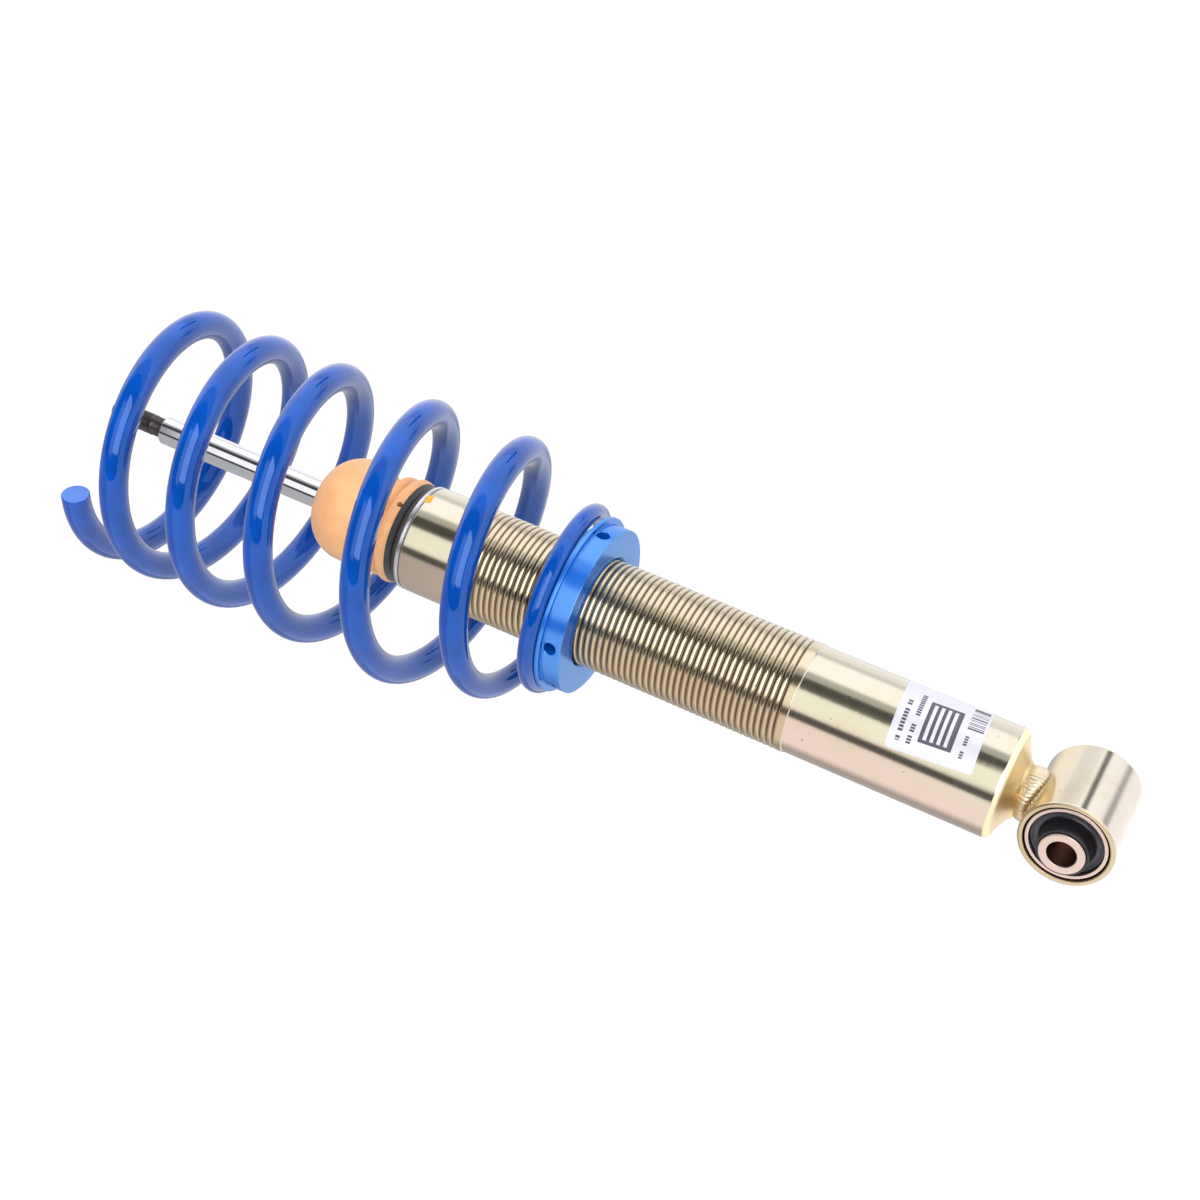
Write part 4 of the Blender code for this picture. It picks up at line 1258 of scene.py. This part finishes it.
def build_winder():
    made = bpy.data.node_groups.new("wind_spring", "GeometryNodeTree")
    made.interface.new_socket(name="Geometry", in_out="OUTPUT", socket_type="NodeSocketGeometry")
    for name, value in (("Wire radius", WIRE_R), ("End wire radius", END_WIRE_R), ("Full radius", FULL_R),
                        ("End radius", END_R), ("Off axis", SPRING_OFF_AXIS), ("Foot height", 0.0)):
        named_input(made, name, value)
    named_input(made, "Paint", None, "NodeSocketMaterial")
    tree = Tree(made)
    given = tree.add("NodeGroupInput")
    size = {socket.name: Value(tree, socket) for socket in given.outputs if socket.name}

    count = round(SPRING_TURNS * STEPS_A_TURN)
    line = tree.value("GeometryNodeCurvePrimitiveLine")
    line = tree.value("GeometryNodeResampleCurve", sockets={"Curve": line, "Count": count + 1})
    turn = tree.value("GeometryNodeInputIndex") / STEPS_A_TURN
    stations = [*LOWER_PITCH, *((SPRING_TURNS - below, pitch) for below, pitch in UPPER_PITCH)]
    middle = turn + 0.5 / STEPS_A_TURN
    pitch = 0.0
    for (t0, p0), (t1, p1) in zip(stations, stations[1:]):
        share = tree.value("ShaderNodeMapRange", sockets={"Value": middle, "From Min": t0, "From Max": t1})
        pitch = share * (p1 - p0) + pitch
    climb = tree.add("GeometryNodeAccumulateField", sockets={0: pitch / STEPS_A_TURN})
    rise = Value(tree, climb.outputs["Trailing"])

    wider = size["Full radius"] - size["End radius"]
    radius = size["End radius"] + wider * tree.ease(turn, *OPENING_OUT)
    angle = turn * (2 * math.pi) + math.radians(TIP_DEG)
    off = size["Off axis"] * tree.ease(turn, *MOVING_OFF)
    x = radius * tree.math("COSINE", angle) + off * math.cos(math.radians(OFF_AXIS_DEG))
    y = radius * tree.math("SINE", angle) + off * math.sin(math.radians(OFF_AXIS_DEG))
    place = tree.value("ShaderNodeCombineXYZ", sockets={0: x, 1: y, 2: size["Foot height"] + rise})
    coil = tree.value("GeometryNodeSetPosition", sockets={"Geometry": line, "Position": place})
    thicker = size["Wire radius"] - size["End wire radius"]
    thick = size["End wire radius"] + thicker * tree.ease(turn, *THICKENING)
    round_wire = {"Resolution": WIRE_SIDES, "Radius": 1.0}
    circle = tree.value("GeometryNodeCurvePrimitiveCircle", sockets=round_wire)
    sweep = {"Curve": coil, "Profile Curve": circle, "Fill Caps": True, "Scale": thick}
    wire = tree.value("GeometryNodeCurveToMesh", sockets=sweep)
    wire = tree.value("GeometryNodeRealizeInstances", sockets={0: wire})
    wire = tree.value("GeometryNodeSetMaterial", sockets={"Geometry": wire, "Material": size["Paint"]})
    out = tree.add("NodeGroupOutput")
    tree.feed(out.inputs[0], wire)
    return made


def run_nodes(name, group, values):
    """The plain mesh that a geometry tree makes on an empty object."""
    host = bpy.data.objects.new(name, bpy.data.meshes.new(name))
    bpy.context.scene.collection.objects.link(host)
    modifier = host.modifiers.new("nodes", "NODES")
    modifier.node_group = group
    for socket in group.interface.items_tree:
        if socket.in_out == "INPUT" and socket.name in values:
            modifier[socket.identifier] = values[socket.name]
    made = bpy.data.meshes.new_from_object(host.evaluated_get(bpy.context.evaluated_depsgraph_get()))
    bpy.data.objects.remove(host)
    return made


# %% Wind the spring, and break the edges of its sawn tips
def make_spring():
    foot = COLLAR_SEAT + 0.3 * MM + END_WIRE_R
    mesh = run_nodes("wire", build_winder(), {"Foot height": foot, "Paint": spring_paint})
    shape = bmesh.new()
    shape.from_mesh(mesh)
    bmesh.ops.remove_doubles(shape, verts=shape.verts, dist=0.001 * MM)
    caps = [face for face in shape.faces if len(face.verts) > 4]
    rims = list({edge for face in caps for edge in face.edges})
    bmesh.ops.bevel(shape, geom=rims, offset=0.5 * MM, segments=3, profile=0.5, affect="EDGES")
    for face in shape.faces:
        if len(face.verts) > 4:
            face.material_index = 1
    bmesh.ops.recalc_face_normals(shape, faces=shape.faces)
    mesh = bpy.data.meshes.new("spring_wire")
    shape.to_mesh(mesh)
    shape.free()
    weigh_normals(mesh)
    mesh.materials.append(spring_paint)
    mesh.materials.append(spring_sawn)
    spring = place_mesh("spring_wire", mesh, "spring", ("coil_spring",))
    spring.visible_glossy = False       # else it would cross every stripe on the tube and the rod
    points = np.array([v.co for v in mesh.vertices])
    print("spring against the frame, mm:", (points.min(0) / MM - np.array(SPRING_LOW) / MM).round(2),
          (points.max(0) / MM - np.array(SPRING_HIGH) / MM).round(2))
    return spring


make_spring()


# %% [markdown]
# ## Sticker and paint mark
#
# A silvery sticker is wrapped part of the way round the tube. It has rounded corners, so its mesh is made
# in columns that shorten near its ends. What it says is left generic: a frame, rows of dashes and a bar
# code.

# %% Sticker
LABEL = [v.co for v in frame["nodes"]["label"].data.vertices]
LABEL_DEGS = [math.degrees(math.atan2(p.y, p.x)) for p in LABEL]
LABEL_START, LABEL_END = min(LABEL_DEGS), max(LABEL_DEGS)
LABEL_LOW, LABEL_HIGH = min(p.z for p in LABEL), max(p.z for p in LABEL)
LABEL_TILT = math.tan(math.radians(4.0))      # it was stuck on a little crooked
LABEL_CORNER = 1.6 * MM
LABEL_WIDE = math.radians(LABEL_END - LABEL_START) * BODY_R
LABEL_LIFT = 0.05 * MM
LABEL_THICK = 0.10 * MM
# rows of dashes, in millimetres: top, height, start and end across the label, and the length of one dash
LABEL_ROWS = ((3.2, 2.0, 4.0, 24.0, 1.6), (8.0, 2.0, 4.0, 30.0, 1.3), (30.5, 1.6, 5.0, 16.0, 1.2))


def make_label_film():
    """A silvery film. Its print is measured in millimetres across and down the label."""
    material, tree, shader = start_finish("label_film")
    place = place_on(tree)
    angle, z = round_the_axis(tree, place)
    middle = (LABEL_LOW + LABEL_HIGH) / 2
    across = (angle - LABEL_START) * (math.pi / 180 * BODY_R / MM) + (z - middle) * (LABEL_TILT / MM)
    down = (LABEL_HIGH - z) * (1 / MM) + (across - LABEL_WIDE / MM / 2) * LABEL_TILT
    ink = 0.0
    for row, (top, tall, start, end, word) in enumerate(LABEL_ROWS):
        cell = tree.math("FLOOR", across / word)
        keep = tree.value("ShaderNodeTexWhiteNoise", {"noise_dimensions": "1D"}, {"W": cell + 13.7 * row})
        gaps = tree.window(tree.math("FRACT", across / word), 0.08, 0.80, 0.04)
        line = tree.window(down, top, top + tall, 0.12) * tree.window(across, start, end, 0.1)
        ink = tree.math("MAXIMUM", ink, line * gaps * tree.math("GREATER_THAN", keep, 0.22))
    block = tree.window(down, 12.5, 27.0, 0.15) * tree.window(across, 6.0, 27.0, 0.15)
    hollow = tree.window(down, 14.0, 25.5, 0.15) * tree.window(across, 7.5, 25.5, 0.15)
    bar = tree.math("FLOOR", across / 0.45)
    bars = tree.value("ShaderNodeTexWhiteNoise", {"noise_dimensions": "1D"}, {"W": bar})
    code = tree.window(down, 30.0, 37.0, 0.1) * tree.window(across, 18.0, 36.0, 0.1)
    ink = tree.math("MAXIMUM", ink, block - hollow)
    ink = tree.math("MAXIMUM", ink, hollow * tree.window(tree.math("FRACT", down / 3.0), 0.25, 0.75, 0.08))
    ink = tree.math("MAXIMUM", ink, code * tree.math("GREATER_THAN", bars, 0.5))
    grain = noise(tree, stretch(tree, place, (300, 300, 40)), 1.0, 2.0)
    film = tree.mix(grain, (0.52, 0.52, 0.58), (0.60, 0.60, 0.65))
    tree.feed(shader.inputs["Base Color"], tree.mix(ink, film, (0.055, 0.05, 0.075)))
    tree.feed(shader.inputs["Roughness"], 0.34 + grain * 0.1)
    tree.feed(shader.inputs["Metallic"], (1 - ink) * 0.35)
    return material


def make_sticker():
    columns, rows = 96, 10
    shape = bmesh.new()
    layers = []
    middle = (LABEL_LOW + LABEL_HIGH) / 2
    for lift in (LABEL_LIFT, LABEL_LIFT + LABEL_THICK):
        grid = []
        for i in range(columns + 1):
            along = LABEL_WIDE * (0.5 - 0.5 * math.cos(math.pi * i / columns))
            into_corner = max(LABEL_CORNER - min(along, LABEL_WIDE - along), 0.0)
            inset = LABEL_CORNER - math.sqrt(max(LABEL_CORNER ** 2 - into_corner ** 2, 0.0))
            a = math.radians(LABEL_START) + along / BODY_R
            column = []
            for j in range(rows + 1):
                flat_z = LABEL_LOW + inset + (LABEL_HIGH - LABEL_LOW - 2 * inset) * j / rows
                z = flat_z + (along - LABEL_WIDE / 2) * LABEL_TILT
                r = BODY_R + lift
                turned = a - (flat_z - middle) * LABEL_TILT / BODY_R
                column.append(shape.verts.new((r * math.cos(turned), r * math.sin(turned), z)))
            grid.append(column)
        layers.append(grid)
    for grid in layers:
        for left, right in zip(grid, grid[1:]):
            for j in range(rows):
                shape.faces.new((left[j], right[j], right[j + 1], left[j + 1]))
    inner, outer = layers
    for i in range(columns):
        for j in (0, rows):
            shape.faces.new((inner[i][j], inner[i + 1][j], outer[i + 1][j], outer[i][j]))
    for i in (0, columns):
        for j in range(rows):
            shape.faces.new((inner[i][j], inner[i][j + 1], outer[i][j + 1], outer[i][j]))
    place_piece("sticker", shape, make_label_film(), "damper_body", ("label",),
                sharp_deg=40)


make_sticker()


# %% [markdown]
# A fitter's dab of yellow paint runs over the edge of the closure. It is a patch of the tube's own surface,
# lifted by a few hundredths of a millimetre and given a thickness, so it has a soft edge of its own.

# %% Dab of marking paint over the closure's edge
DAB_DEG = -8.0
DAB_WIDE_DEG = 13.0
DAB_LOW, DAB_HIGH = TUBE_TOP - 2.6 * MM, TUBE_TOP + 0.7 * MM


def make_paint_dab():
    shape = bmesh.new()
    columns, rows = 16, 14
    grid = []
    for i in range(columns + 1):
        side = 2 * i / columns - 1
        half = (DAB_HIGH - DAB_LOW) / 2 * (1 - abs(side) ** 5) ** 0.5
        middle = (DAB_HIGH + DAB_LOW) / 2 + 0.3 * MM * math.sin(4 * side)
        a = math.radians(DAB_DEG + DAB_WIDE_DEG / 2 * side)
        column = []
        for j in range(rows + 1):
            up = 2 * j / rows - 1
            z = middle + half * up
            lift = 0.03 * MM + 0.05 * MM * (1 - up * up) * (1 - side * side)
            r = CREST_R + lift
            column.append(shape.verts.new((r * math.cos(a), r * math.sin(a), z)))
        grid.append(column)
    for left, right in zip(grid, grid[1:]):
        for j in range(rows):
            shape.faces.new((left[j], right[j], right[j + 1], left[j + 1]))
    edge = bmesh.ops.extrude_face_region(shape, geom=list(shape.faces))
    moved = [item for item in edge["geom"] if isinstance(item, bmesh.types.BMVert)]
    for vertex in moved:
        flat = Vector((vertex.co.x, vertex.co.y, 0)).normalized()
        vertex.co -= flat * 0.02 * MM
    bmesh.ops.remove_doubles(shape, verts=shape.verts, dist=0.0005 * MM)
    place_piece("paint_dab", shape, yellow_paint, "damper_body")


make_paint_dab()

# %% [markdown]
# ## Hidden parts
#
# The damper's inside is sealed, so its frame parts stay as they are. They still get a finish, for anyone
# who takes the strut apart.

# %% Finishes for the parts inside
INSIDE = {
    machined: ("base_valve", "base_valve_shims", "base_valve_bolt", "pressure_tube", "rod_guide",
               "piston", "rebound_shims", "compression_shims", "piston_nut"),
    bronze: ("guide_bushing",),
    rubber: ("rod_seal",),
    plastic: ("piston_band",),
    foam: ("rebound_stop",),
}
for finish, names in INSIDE.items():
    for name in names:
        mesh = frame["nodes"][name].data
        mesh.materials.clear()
        mesh.materials.append(finish)
print("finished inside:", sum(len(names) for names in INSIDE.values()), "parts")
